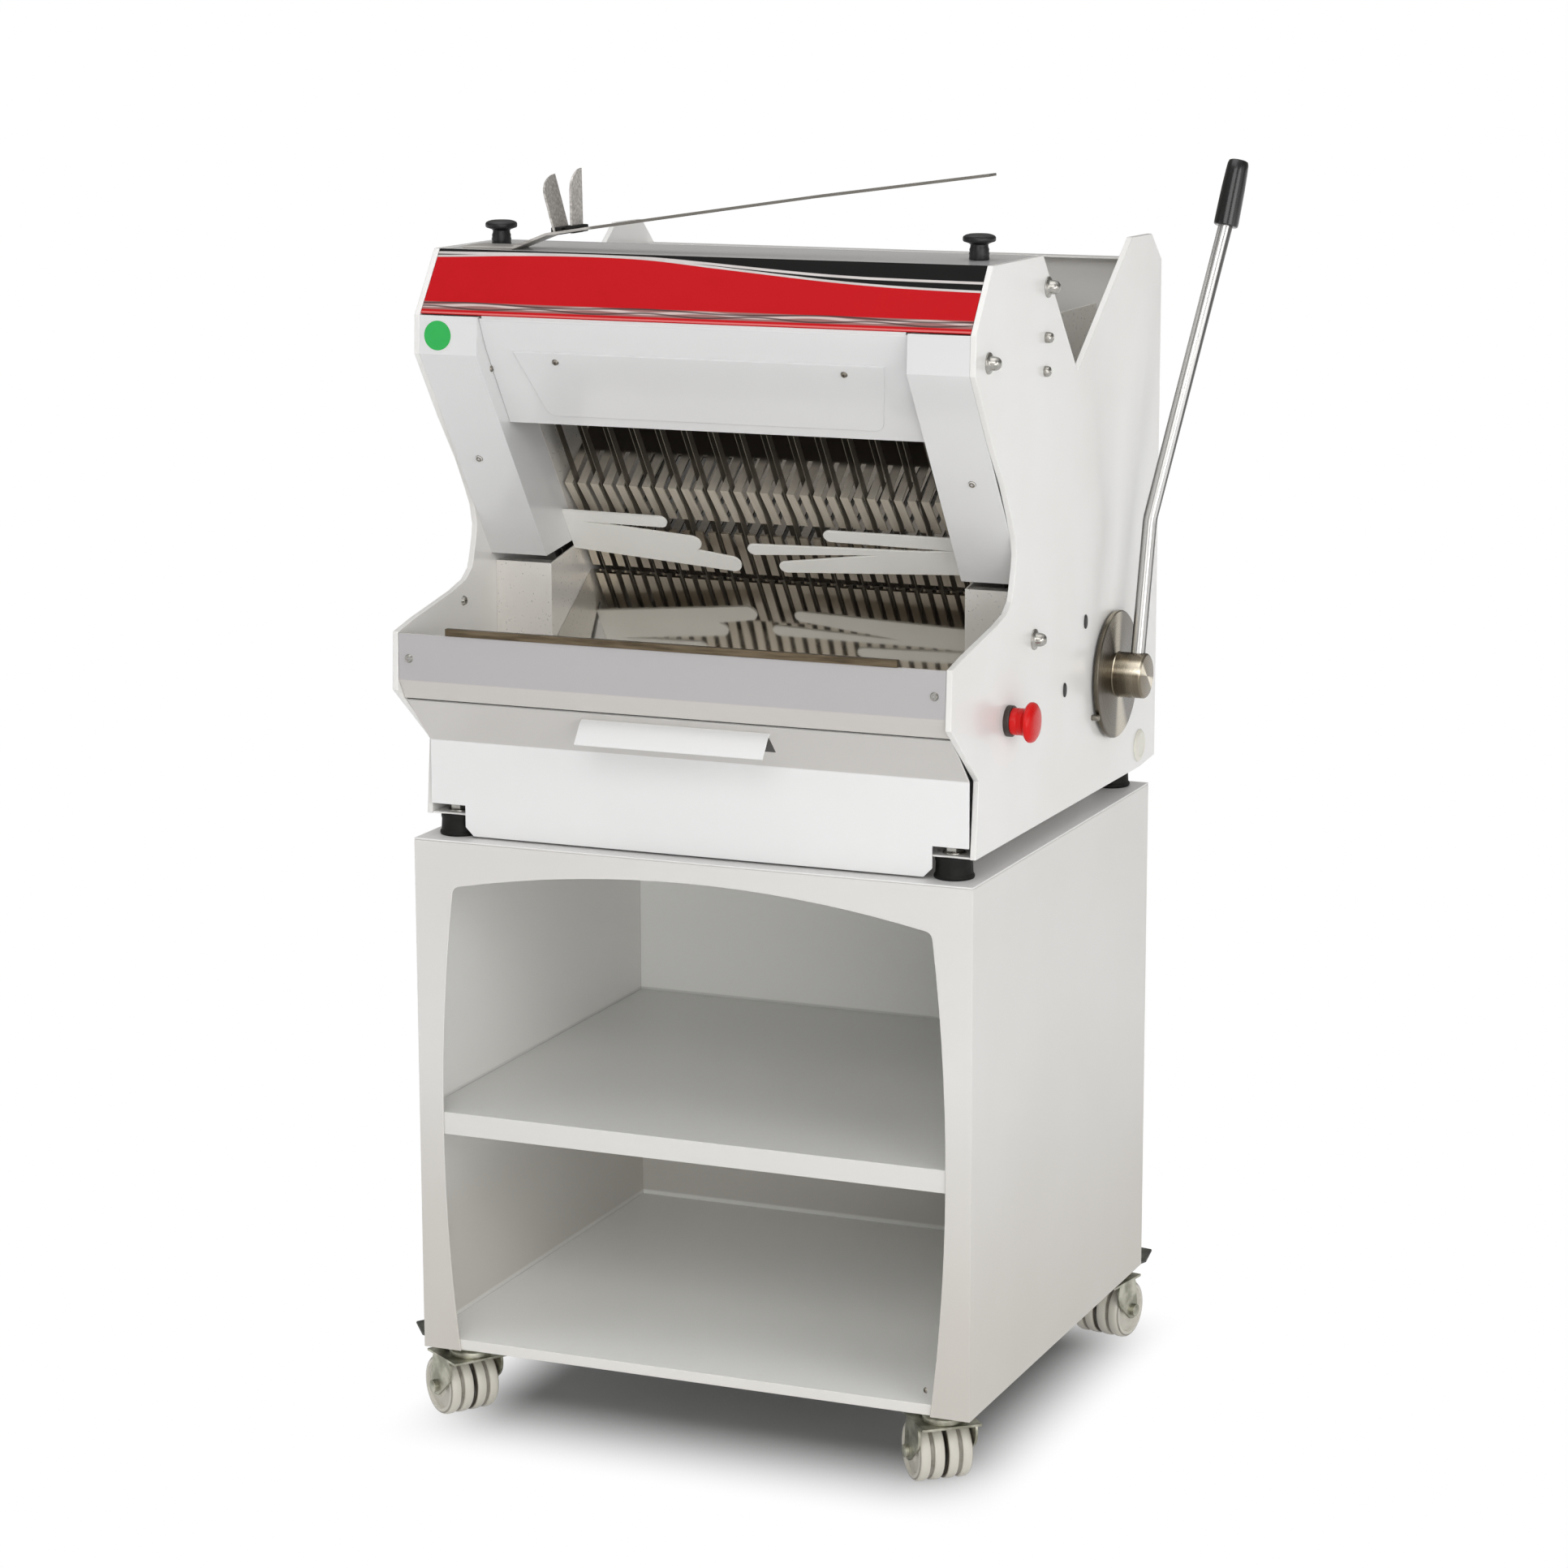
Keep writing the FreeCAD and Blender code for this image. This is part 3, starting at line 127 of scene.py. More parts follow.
class Finish:
    """One paint, metal, rubber or plastic and the nodes that make it."""

    def __init__(self, name, fixed):
        self.material = bpy.data.materials.new(name)
        self.material.use_nodes = True
        self.tree = self.material.node_tree
        self.surface = self.tree.nodes["Principled BSDF"]
        for socket, value in fixed.items():
            self.surface.inputs[socket].default_value = value

    def node(self, kind, settings, sockets, output=0):
        made = self.tree.nodes.new(kind)
        for name, value in settings.items():
            if name == "stops":
                ramp = made.color_ramp
                while len(ramp.elements) < len(value):
                    ramp.elements.new(0.5)
                for element, (place, colour) in zip(ramp.elements, value):
                    element.position = place
                for element, (place, colour) in zip(ramp.elements, value):
                    element.color = colour
            elif name == "smoothing":
                made.color_ramp.interpolation = value
            else:
                setattr(made, name, value)
        for key, value in sockets.items():
            if isinstance(value, Amount):
                self.tree.links.new(value.socket, made.inputs[key])
            else:
                made.inputs[key].default_value = value
        return Amount(self, made.outputs[output])

    def place(self, centre=(0, 0, 0), turn=0.0, size=(1, 1, 1), tilt=0.0):
        """The spot on the piece, in metres from centre, tilted about x, turned about z, counted in size."""
        spot = self.node("ShaderNodeTexCoord", {}, {}, "Object")
        return self.node("ShaderNodeMapping", {"vector_type": "TEXTURE"},
                         {"Vector": spot, "Location": tuple(centre), "Rotation": (tilt, 0, turn),
                          "Scale": size})

    def parts(self, place):
        """x, y and z of a place."""
        split = self.node("ShaderNodeSeparateXYZ", {}, {0: place})
        outputs = split.socket.node.outputs
        return [Amount(self, outputs[i]) for i in range(3)]

    def grain(self, place, scale, detail=3.0):
        """Soft random grain from 0 to 1."""
        return self.node("ShaderNodeTexNoise", {}, {"Vector": place, "Scale": scale, "Detail": detail,
                                                    "Roughness": 0.55})

    def blend(self, share, first, second):
        """Colour that goes from first to second as share goes from 0 to 1."""
        return self.node("ShaderNodeMix", {"data_type": "RGBA"}, {0: share, 6: first, 7: second}, 2)

    def wear(self, colour=None, roughness=None, height=None, depth=0.0, strength=1.0):
        """Joins what changes over the surface to the shader."""
        if colour is not None:
            self.tree.links.new(colour.socket, self.surface.inputs["Base Color"])
        if roughness is not None:
            self.tree.links.new(roughness.socket, self.surface.inputs["Roughness"])
        if height is not None:
            bump = self.node("ShaderNodeBump", {},
                             {"Height": height, "Distance": depth, "Strength": strength})
            self.tree.links.new(bump.socket, self.surface.inputs["Normal"])

    def mottled(self, cloud, gloss, skin=None):
        """Cloudy colour and uneven gloss over the whole piece, and a fine raised skin if one is given."""
        spot = self.place()
        cloud_scale, first, second = cloud
        colour = self.blend(self.grain(spot, cloud_scale), first, second)
        gloss_scale, change, base = gloss
        roughness = self.grain(spot, gloss_scale) * change + base
        if skin is None:
            self.wear(colour, roughness)
        else:
            skin_scale, depth, strength = skin
            self.wear(colour, roughness, self.grain(spot, skin_scale), depth, strength)


floor_finish = Finish("floor_white", {"Roughness": 0.9, "Specular IOR Level": 0.1})
floor_spot = floor_finish.place(drawing.translation)
floor_finish.wear(floor_finish.blend(floor_finish.grain(floor_spot, 1.4), shade(247, 247, 247),
                                     shade(250, 250, 250)))
floor_x, floor_y = floor_finish.parts(floor_spot)[:2]
# A painted shadow: under and beside the stand, camera rays see the floor's lit shading darkened towards
# black, elsewhere white.
painted_shadow_area = abs(floor_x).rise(0.345, 0.215) * floor_y.rise(-0.088, 0.118) * floor_y.rise(0.63, 0.46)
rays = floor_finish.node("ShaderNodeLightPath", {}, {}, "Is Camera Ray")
seen = rays
for ray in ("Is Glossy Ray", "Is Transmission Ray"):
    seen = seen + Amount(floor_finish, rays.socket.node.outputs[ray])
lit = Amount(floor_finish, floor_finish.surface.outputs[0])
white = floor_finish.node("ShaderNodeEmission", {}, {"Color": (1, 1, 1, 1), "Strength": 1.0})
dark = floor_finish.node("ShaderNodeEmission", {}, {"Color": (0, 0, 0, 1), "Strength": 0.0})
shadow_depth = 0.76
shadow = floor_finish.node("ShaderNodeMixShader", {}, {0: shadow_depth, 1: lit, 2: dark})
shown = floor_finish.node("ShaderNodeMixShader", {}, {0: painted_shadow_area, 1: white, 2: shadow})
both = floor_finish.node("ShaderNodeMixShader", {}, {0: seen, 1: lit, 2: shown})
floor_finish.tree.links.new(both.socket, floor_finish.tree.nodes["Material Output"].inputs["Surface"])
floor_reach = 160.0
floor_mesh = bpy.data.meshes.new("floor")
floor_bm = bmesh.new()
bmesh.ops.create_grid(floor_bm, x_segments=1, y_segments=1, size=floor_reach)
floor_bm.to_mesh(floor_mesh)
floor_mesh.materials.append(floor_finish.material)
floor_object = bpy.data.objects.new("floor", floor_mesh)
bpy.context.scene.collection.objects.link(floor_object)

studio = bpy.data.worlds.new("studio")
bpy.context.scene.world = studio
studio.use_nodes = True
sky = studio.node_tree
sky_path = sky.nodes.new("ShaderNodeLightPath")
sky_back = sky.nodes["Background"]
sky_back.inputs["Color"].default_value = (1, 1, 1, 1)
sky_back.inputs["Strength"].default_value = 0.29
sky_seen = sky.nodes.new("ShaderNodeBackground")
sky_seen.inputs["Color"].default_value = (1, 1, 1, 1)
sky_seen.inputs["Strength"].default_value = 1.0
sky_metal = sky.nodes.new("ShaderNodeBackground")
sky_metal.inputs["Strength"].default_value = 0.9
sky_spot = sky.nodes.new("ShaderNodeTexCoord")
sky_wave = sky.nodes.new("ShaderNodeTexGradient")
sky_map = sky.nodes.new("ShaderNodeMapping")
sky_map.inputs["Rotation"].default_value = (0, math.radians(90), 0)
sky_ramp = sky.nodes.new("ShaderNodeValToRGB")
sky_ramp.color_ramp.elements[0].position = 0.52
sky_ramp.color_ramp.elements[0].color = (0.30, 0.29, 0.28, 1)
sky_ramp.color_ramp.elements[1].position = 0.78
sky_ramp.color_ramp.elements[1].color = (1, 1, 1, 1)
sky_first = sky.nodes.new("ShaderNodeMixShader")
sky_second = sky.nodes.new("ShaderNodeMixShader")
for source, drain in ((sky_spot.outputs["Generated"], sky_map.inputs["Vector"]),
                      (sky_map.outputs["Vector"], sky_wave.inputs["Vector"]),
                      (sky_wave.outputs["Color"], sky_ramp.inputs["Fac"]),
                      (sky_ramp.outputs["Color"], sky_metal.inputs["Color"]),
                      (sky_path.outputs["Is Glossy Ray"], sky_first.inputs[0]),
                      (sky_back.outputs[0], sky_first.inputs[1]),
                      (sky_metal.outputs[0], sky_first.inputs[2]),
                      (sky_path.outputs["Is Camera Ray"], sky_second.inputs[0]),
                      (sky_first.outputs[0], sky_second.inputs[1]),
                      (sky_seen.outputs[0], sky_second.inputs[2]),
                      (sky_second.outputs[0], sky.nodes["World Output"].inputs["Surface"])):
    sky.links.new(source, drain)


def lamp(name, spot, target, width, height, power, mirrored=True):
    """A soft box that hangs at spot and points at target. One not mirrored leaves no highlight."""
    light = bpy.data.lights.new(name, "AREA")
    light.shape = "RECTANGLE"
    light.size = width
    light.size_y = height
    light.energy = power
    holder = bpy.data.objects.new(name, light)
    way = Vector(target) - Vector(spot)
    holder.matrix_world = Matrix.Translation(spot) @ way.to_track_quat("-Z", "Y").to_matrix().to_4x4()
    holder.visible_camera = False
    holder.visible_glossy = mirrored
    bpy.context.scene.collection.objects.link(holder)


lamp("lamp_over", (-0.3, -0.6, 3.4), (0, 0, 0.6), 2.6, 2.6, 28.0)
lamp("lamp_high", (0.8, -4.2, 2.9), (0, 0, 0.5), 2.6, 2.0, 47.0)
lamp("lamp_low", (2.5, -4.1, 0.8), (0, 0, 0.45), 2.6, 1.5, 46.0)
lamp("lamp_left", (-3.4, -3.4, 1.8), (0, 0, 0.6), 2.0, 2.0, 10.0)
lamp("lamp_right", (4.2, -2.6, 2.0), (0, 0, 0.7), 2.2, 2.2, 53.0)
lamp("lamp_side", (4.4, -0.4, 1.4), (0, 0, 0.7), 2.2, 2.2, 12.0)
lamp("lamp_back", (1.6, 4.4, 1.4), (0, 0, 0.7), 2.6, 2.4, 48.0, False)
lamp("lamp_back_left", (-4.2, 0.8, 1.8), (0, 0, 0.7), 2.4, 2.4, 42.0, False)

viewer_spot = at(1677.63, -3742.34, 1533.25)
viewer_turn = math.radians(22.80)
viewer_drop = math.radians(11.65)
viewer_roll = math.radians(-0.15)
camera = bpy.data.cameras.new("camera")
camera.lens = 98.33
camera.sensor_width = 36.0
camera.clip_end = 500.0
viewer = bpy.data.objects.new("camera", camera)
viewer.matrix_world = (Matrix.Translation(viewer_spot)
                       @ Matrix.Rotation(viewer_turn, 4, "Z")
                       @ Matrix.Rotation(math.radians(90) - viewer_drop, 4, "X")
                       @ Matrix.Rotation(viewer_roll, 4, "Z"))
bpy.context.scene.collection.objects.link(viewer)
bpy.context.scene.camera = viewer
bpy.context.scene.view_settings.view_transform = "Standard"


# ---- casters -------------------------------------------------------------------------------------
# Twin wheel swivel casters: pale grey tyres on moulded discs, a pressed zinc plated fork with its
# ball race and axle bolt, and a dark brake pedal. Each is screwed under a corner of the stand.
def piece(bm, name, finish, body, stands_for=(), sharp=38, drawn=True):
    """Makes the finished mesh an object that rides on its body."""
    if drawn:
        bmesh.ops.transform(bm, matrix=drawing, verts=bm.verts)
    mesh = bpy.data.meshes.new(name)
    bm.to_mesh(mesh)
    bm.free()
    mesh.materials.append(finish.material)
    mesh.shade_smooth()
    mesh.set_sharp_from_angle(angle=math.radians(sharp))
    made = bpy.data.objects.new(name, mesh)
    bpy.context.scene.collection.objects.link(made)
    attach(made, body)
    if stands_for:
        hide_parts(*stands_for)
    return made


def round_off(bm, radius, least=32):
    """Rounds every edge sharper than least degrees."""
    edges = [e for e in bm.edges if len(e.link_faces) == 2
             and e.calc_face_angle(0.0) > math.radians(least)]
    bmesh.ops.bevel(bm, geom=edges, offset=radius, offset_type="OFFSET", segments=2, profile=0.5,
                    affect="EDGES", clamp_overlap=True, material=-1)


def rounded(node, name, finish, radius):
    """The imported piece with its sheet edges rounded, as paint or grinding leaves them."""
    source = frame["nodes"][node]
    bm = bmesh.new()
    bm.from_mesh(source.data)
    bmesh.ops.remove_doubles(bm, verts=bm.verts, dist=2e-6)
    bmesh.ops.dissolve_limit(bm, angle_limit=math.radians(0.6), verts=bm.verts, edges=bm.edges)
    round_off(bm, radius / 1000, 30)
    made = piece(bm, name, finish, source["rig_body"], (node,), sharp=50, drawn=False)
    even = made.modifiers.new("even_faces", "WEIGHTED_NORMAL")
    even.keep_sharp = True


def coat(finish, *nodes):
    """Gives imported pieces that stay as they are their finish."""
    for node in nodes:
        frame["nodes"][node].material_slots[0].material = finish.material


def turned(profile, steps=40, rounding=0.0):
    """A lathe part about z from (radius, height) points, its edges rounded."""
    bm = bmesh.new()
    points = [bm.verts.new((radius, 0, height)) for radius, height in profile]
    for first, second in zip(points, points[1:]):
        bm.edges.new((first, second))
    bmesh.ops.spin(bm, geom=bm.verts[:] + bm.edges[:], cent=(0, 0, 0), axis=(0, 0, 1), dvec=(0, 0, 0),
                   angle=math.tau, steps=steps, use_merge=True, use_duplicate=False)
    bmesh.ops.remove_doubles(bm, verts=bm.verts, dist=1e-4)
    bmesh.ops.recalc_face_normals(bm, faces=bm.faces)
    if rounding:
        round_off(bm, rounding)
    return bm


def aim(start, direction):
    """Turns +z to a direction and moves to start."""
    return Matrix.Translation(start) @ Vector(direction).to_track_quat("Z", "Y").to_matrix().to_4x4()


def moved(bm, matrix):
    bmesh.ops.transform(bm, matrix=matrix, verts=bm.verts)
    return bm


def joined(parts):
    """One mesh from several."""
    whole = bmesh.new()
    for part in parts:
        copy = bpy.data.meshes.new("part")
        part.to_mesh(copy)
        part.free()
        whole.from_mesh(copy)
        bpy.data.meshes.remove(copy)
    return whole


def block(x0, x1, y0, y1, z0, z1):
    """A box between two corners."""
    bm = bmesh.new()
    bmesh.ops.create_cube(bm, size=1.0)
    bmesh.ops.scale(bm, vec=(x1 - x0, y1 - y0, z1 - z0), verts=bm.verts)
    bmesh.ops.translate(bm, vec=((x0 + x1) / 2, (y0 + y1) / 2, (z0 + z1) / 2), verts=bm.verts)
    return bm


zinc = Finish("zinc_plate", {"Metallic": 0.85})
zinc_spot = zinc.place()
zinc_cloud = zinc.grain(zinc_spot, 60.0, 4.0)
zinc.wear(zinc.blend(zinc_cloud.rise(0.35, 0.7), shade(132, 131, 116), shade(188, 187, 172)),
          zinc.grain(zinc_spot, 240.0) * 0.22 + 0.26, zinc.grain(zinc_spot, 900.0), 0.00005, 0.4)
pedal_black = Finish("pedal_black", {"Specular IOR Level": 0.5})
pedal_spot = pedal_black.place()
pedal_black.wear(pedal_black.blend(pedal_black.grain(pedal_spot, 90.0).rise(0.3, 0.8), shade(44, 46, 42),
                                   shade(86, 88, 80)),
                 pedal_black.grain(pedal_spot, 300.0) * 0.2 + 0.35,
                 pedal_black.grain(pedal_spot, 1400.0), 0.00006, 0.5)

caster_yaw = {"fl": 55.0, "fr": 40.0, "rl": 20.0, "rr": -10.0}
caster_x = 262.0
caster_y = {"f": 30.0, "r": 510.0}
axle_height = 24.5
trail = 20.0
wheel_half = [(4.1, 1.2), (9.0, 1.2), (9.6, 2.4), (27.0, 2.4), (28.4, 1.6), (30.2, 2.0), (31.2, 3.4),
              (31.5, 6.4), (31.4, 10.4), (30.8, 12.2), (29.2, 12.9), (29.0, 14.7), (29.2, 16.5),
              (30.8, 17.2), (31.4, 19.0), (31.4, 23.0), (30.8, 25.6), (29.2, 27.4), (26.8, 28.2),
              (25.0, 28.0), (24.0, 26.6), (23.2, 25.4), (20.0, 25.0), (13.0, 25.2), (11.4, 26.4),
              (10.4, 28.0), (8.4, 28.4), (4.1, 28.4)]
wheel_middle = [(4.1, -1.2), (7.6, -1.2), (7.6, 1.2), (4.1, 1.2)]
washer = ([(0, 0), (6.4, 0), (6.4, 0.9), (0, 0.9)], 31.3, 32)
hexagon_nut = ([(0, 0), (5.2, 0), (5.2, 3.1), (4.6, 3.6), (0, 3.6)], 32.2, 6)
ball_race = [(15.0, 59.4), (20.5, 59.4), (22.0, 61.0), (22.0, 66.0), (20.0, 68.6), (15.0, 68.6)]
for key, yaw in caster_yaw.items():
    side = 1 if key[1] == "r" else -1
    corner = (Matrix.Translation((side * caster_x, caster_y[key[0]], 0))
              @ Matrix.Rotation(math.radians(yaw), 4, "Z"))
    axle = (corner @ Matrix.Translation((0, trail, axle_height))
            @ Matrix.Rotation(math.radians(90), 4, "Y"))
    tyre = Finish("tyre_" + key, {"Specular IOR Level": 0.45, "Coat Weight": 0.15, "Coat Roughness": 0.3})
    spot = tyre.place(drawing @ axle.translation, math.radians(yaw))
    along, across, up = tyre.parts(spot)
    out = (across * across + up * up) ** 0.5
    dirt = tyre.grain(spot, 70.0, 4.0)
    # The tread grooves, the gap between the twin wheels and a ring on each face are darkened: dirt, and
    # painted shade in these hollows.
    groove = out.rise(0.0303, 0.0291) * out.rise(0.0270, 0.0288)
    centre = abs(along).rise(0.0034, 0.0018)
    ring = out.rise(0.0236, 0.0228) * out.rise(0.0120, 0.0130)
    dirt_and_painted_shade = (groove * 0.62 + centre * 0.75 + ring * 0.16 + dirt.rise(0.42, 0.8) * 0.18).rise(0.0, 1.0)
    tyre.wear(tyre.blend(dirt_and_painted_shade, shade(203, 199, 188), shade(82, 74, 62)),
              dirt * 0.2 + 0.34, tyre.grain(spot, 1500.0), 0.00004, 0.3)
    wheels = joined([turned(wheel_half, 56), moved(turned(wheel_half, 56), Matrix.Rotation(math.pi, 4, "X")),
                     turned(wheel_middle, 32)])
    piece(moved(wheels, axle), "wheels_" + key, tyre, "wheels_" + key,
          ("caster_wheels_" + key,), sharp=40)
    rounded("caster_fork_" + key, "fork_" + key, zinc, 0.5)
    rounded("caster_pedal_" + key, "pedal_" + key, pedal_black, 0.7)
    caps = []
    for turn in (0, math.pi):
        for profile, out_by, steps in (washer, hexagon_nut):
            caps.append(moved(turned(profile, steps, 0.2), Matrix.Rotation(turn, 4, "X")
                              @ Matrix.Translation((0, 0, out_by))))
    piece(moved(joined(caps), axle), "axle_nuts_" + key, zinc, "fork_" + key, sharp=30)
    piece(moved(turned(ball_race, 40, 0.6), corner), "ball_race_" + key, zinc, "fork_" + key)
coat(zinc, "caster_plates")

# ---- stand ---------------------------------------------------------------------------------------
# An open cupboard of folded and welded steel sheet with one shelf. All of it is sprayed with light
# grey powder paint that is baked to a satin skin with a fine orange peel.
stand_paint = Finish("stand_powder_paint", {"Specular IOR Level": 0.42, "Coat Weight": 0.08,
                                            "Coat Roughness": 0.25})
stand_spot = stand_paint.place()
stand_cloud = stand_paint.grain(stand_spot, 3.2, 3.0)
stand_speck = stand_paint.grain(stand_spot, 420.0, 2.0)
stand_x, stand_y, stand_z = stand_paint.parts(stand_spot)
stand_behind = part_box("stand_back")[1].y
lid_from = 0.616
lid_under = 0.6125
wall_inside = 0.298
floor_sheet = 0.0955
shelf_low = 0.302
shelf_high = 0.335
# The outside darkens and warms towards the bottom: dust, and painted shade. A random cloud of tone lies over
# it.
stand_dust_and_shade = stand_z.rise(0.45, 0.06) * 0.45 + stand_cloud * 0.35
stand_in = (abs(stand_x - drawing.translation.x).rise(wall_inside + 0.0005, wall_inside - 0.0005)
            * (stand_y - drawing.translation.y).rise(0.001, 0.004)
            * stand_z.rise(lid_under + 0.0005, lid_under - 0.0005)
            * stand_y.rise(stand_behind - 0.0005, stand_behind - 0.001))
# The lid's top is painted lighter than the rest of the outside: painted light.
lid_painted_light = stand_z.rise(lid_from - 0.0005, lid_from + 0.0005)
# The inside walls low in the bottom bay, above its floor, are painted darker: painted shade.
low_bay_painted_shade = stand_z.rise(0.30, 0.20) * stand_z.rise(floor_sheet - 0.0015, floor_sheet + 0.0015)
stand_outer = stand_paint.blend(stand_dust_and_shade, shade(222, 221, 219), shade(180, 173, 161))
stand_outer = stand_paint.blend(lid_painted_light, stand_outer, shade(234, 233, 232))
# The shelf is painted a darker tone than the rest of the inside: painted shade.
stand_shelf = (stand_z.rise(shelf_low - 0.002, shelf_low + 0.002)
               * stand_z.rise(shelf_high + 0.001, shelf_high - 0.001))
# The inside is painted lighter than the outside: painted light.
inside_painted_light_and_shade = stand_paint.blend(low_bay_painted_shade, shade(253, 253, 250), shade(216, 213, 207))
inside_painted_light_and_shade = stand_paint.blend(stand_shelf, inside_painted_light_and_shade, shade(226, 226, 223))
stand_paint.wear(stand_paint.blend(stand_in, stand_outer, inside_painted_light_and_shade), stand_speck * 0.12 + 0.34,
                 stand_paint.grain(stand_spot, 1100.0, 2.0), 0.00006, 0.35)
for node in ("stand_left_side", "stand_right_side", "stand_back", "stand_top", "stand_shelf",
             "stand_floor"):
    rounded(node, node.replace("stand_", "stand_sheet_"), stand_paint, 0.8)
rounded("stand_front_frame", "stand_face_frame", stand_paint, 0.7)


def screw(radius, height):
    """A pan head with a cross recess, its flange at z = 0."""
    bm = bmesh.new()
    bmesh.ops.create_circle(bm, cap_ends=True, segments=24, radius=radius)
    grown = bmesh.ops.extrude_face_region(bm, geom=bm.faces[:])
    tops = [v for v in grown["geom"] if isinstance(v, bmesh.types.BMVert)]
    bmesh.ops.translate(bm, vec=(0, 0, height), verts=tops)
    bmesh.ops.scale(bm, vec=(0.72, 0.72, 1), verts=tops)
    arm = radius * 0.46
    half = radius * 0.13
    for axis in ((1, 0, 0), (0, 1, 0)):
        for distance in (-arm, -half, half, arm):
            bmesh.ops.bisect_plane(bm, geom=bm.verts[:] + bm.edges[:] + bm.faces[:],
                                   plane_co=Vector(axis) * distance, plane_no=axis)
    recess = []
    for face in bm.faces:
        centre = face.calc_center_median()
        in_cross = max(abs(centre.x), abs(centre.y)) < arm and min(abs(centre.x), abs(centre.y)) < half
        if centre.z > height * 0.95 and in_cross:
            recess.append(face)
    sunk = bmesh.ops.extrude_face_region(bm, geom=recess)
    bmesh.ops.delete(bm, geom=recess, context="FACES_ONLY")
    recess_floor = [v for v in sunk["geom"] if isinstance(v, bmesh.types.BMVert)]
    bmesh.ops.translate(bm, vec=(0, 0, -height * 0.75), verts=recess_floor)
    bmesh.ops.recalc_face_normals(bm, faces=bm.faces)
    return bm


steel_screw = Finish("screw_steel", {"Metallic": 0.9})
steel_screw.mottled((400.0, shade(96, 92, 84), shade(158, 152, 142)), (700.0, 0.2, 0.25))
piece(moved(screw(3.2, 1.6), aim((252.5, 4.0, 98.0), (-0.9, -1.0, 0.0))), "stand_floor_screw", steel_screw,
      "machine", sharp=25)

# ---- rubber feet ---------------------------------------------------------------------------------
# Four black rubber buffers carry the slicer on the stand's lid. A bolt through each holds it under the
# base plate, with a zinc plated nut and washer that show in the drawer's notches.
foot_rubber = Finish("foot_rubber", {"Specular IOR Level": 0.2})
foot_rubber.mottled((120.0, shade(15, 15, 14), shade(28, 28, 26)), (500.0, 0.2, 0.5), (1600.0, 0.00008, 0.5))
lid_height = 610.0
base_top = 634.0
buffer = [(0, 0), (19.2, 0), (20.0, 1.2), (20.0, 3.2), (18.6, 5.0), (18.0, 16.0), (18.6, 18.4),
          (18.6, 20.6), (17.6, 22.0), (0, 22.0)]
foot_fittings = (([(0, 0), (11.5, 0), (11.5, 1.6), (0, 1.6)], 32, 0.3, 0.0),
                 ([(0, 0), (9.6, 0), (9.6, 6.6), (8.6, 7.4), (0, 7.4)], 6, 0.3, 1.6),
                 ([(0, 0), (4.0, 0), (4.0, 3.6), (3.2, 4.4), (0, 4.4)], 20, 0.2, 5.6))
feet = []
nuts = []
for x in (-267.0, 267.0):
    for y in (37.0, 512.0):
        feet.append(moved(turned(buffer, 48, 0.4), Matrix.Translation((x, y, lid_height))))
        for profile, steps, rounding, lift in foot_fittings:
            nuts.append(moved(turned(profile, steps, rounding),
                              Matrix.Translation((x, y, base_top + lift))))
piece(joined(feet), "rubber_buffers", foot_rubber, "machine", ("rubber_feet",))
bright_zinc = Finish("bright_zinc", {"Metallic": 1.0})
bright_zinc.mottled((300.0, shade(138, 136, 130), shade(186, 184, 178)), (800.0, 0.15, 0.18))

# ---- slicer body ---------------------------------------------------------------------------------
# Two cut steel side panels on a folded base plate, closed by a rear cover. They are sprayed a cleaner,
# glossier white than the stand. Cap nuts and bolts, oval plugs and a blind cap show on the panels.
head_paint = Finish("head_powder_paint", {"Specular IOR Level": 0.5, "Coat Weight": 0.25,
                                          "Coat Roughness": 0.12})
head_spot = head_paint.place()
head_cloud = head_paint.grain(head_spot, 4.0, 3.0)
head_paint.wear(head_paint.blend(head_cloud.rise(0.3, 0.75), shade(230, 229, 227), shade(224, 222, 218)),
                head_paint.grain(head_spot, 500.0, 2.0) * 0.1 + 0.26,
                head_paint.grain(head_spot, 900.0, 2.0), 0.00005, 0.28)
for node in ("side_panel_left", "side_panel_right", "rear_cover", "base_plate"):
    rounded(node, node + "_sheet", head_paint, 0.9 if "panel" in node else 0.6)

panel_face = 295.0
panel_inside = 289.0
cap_nut = [(0, 0), (10.5, 0), (10.5, 1.0), (9.9, 1.5), (7.8, 2.4), (7.0, 3.4), (6.6, 7.4), (5.6, 10.0),
           (3.8, 11.8), (1.8, 12.5), (0, 12.5)]
fixings = []
for sign in (1, -1):
    for y, z in ((214.4, 1164.2), (47.3, 1106.3), (183.4, 821.2)):
        fixings.append(moved(turned(cap_nut, 32, 0.2), aim((sign * panel_face, y, z), (sign, 0, 0))))
    for y, z, height in ((209.8, 1115.6, 7.5), (207.2, 1082.8, 6.4)):
        bolt_end = [(0, 0), (5.4, 0), (5.4, height - 3.6), (4.6, height - 1.4), (3.0, height - 0.3),
                    (1.9, height), (1.7, height - 1.6), (0, height - 1.6)]
        fixings.append(moved(turned(bolt_end, 28, 0.15), aim((sign * panel_face, y, z), (sign, 0, 0))))
    fixings.append(moved(screw(5.2, 2.6), aim((sign * panel_inside, 97.3, 837.7), (-sign, 0, 0))))
piece(joined(fixings), "panel_fixings", bright_zinc, "machine", sharp=30)
piece(joined(nuts), "foot_nuts", bright_zinc, "machine", sharp=25)

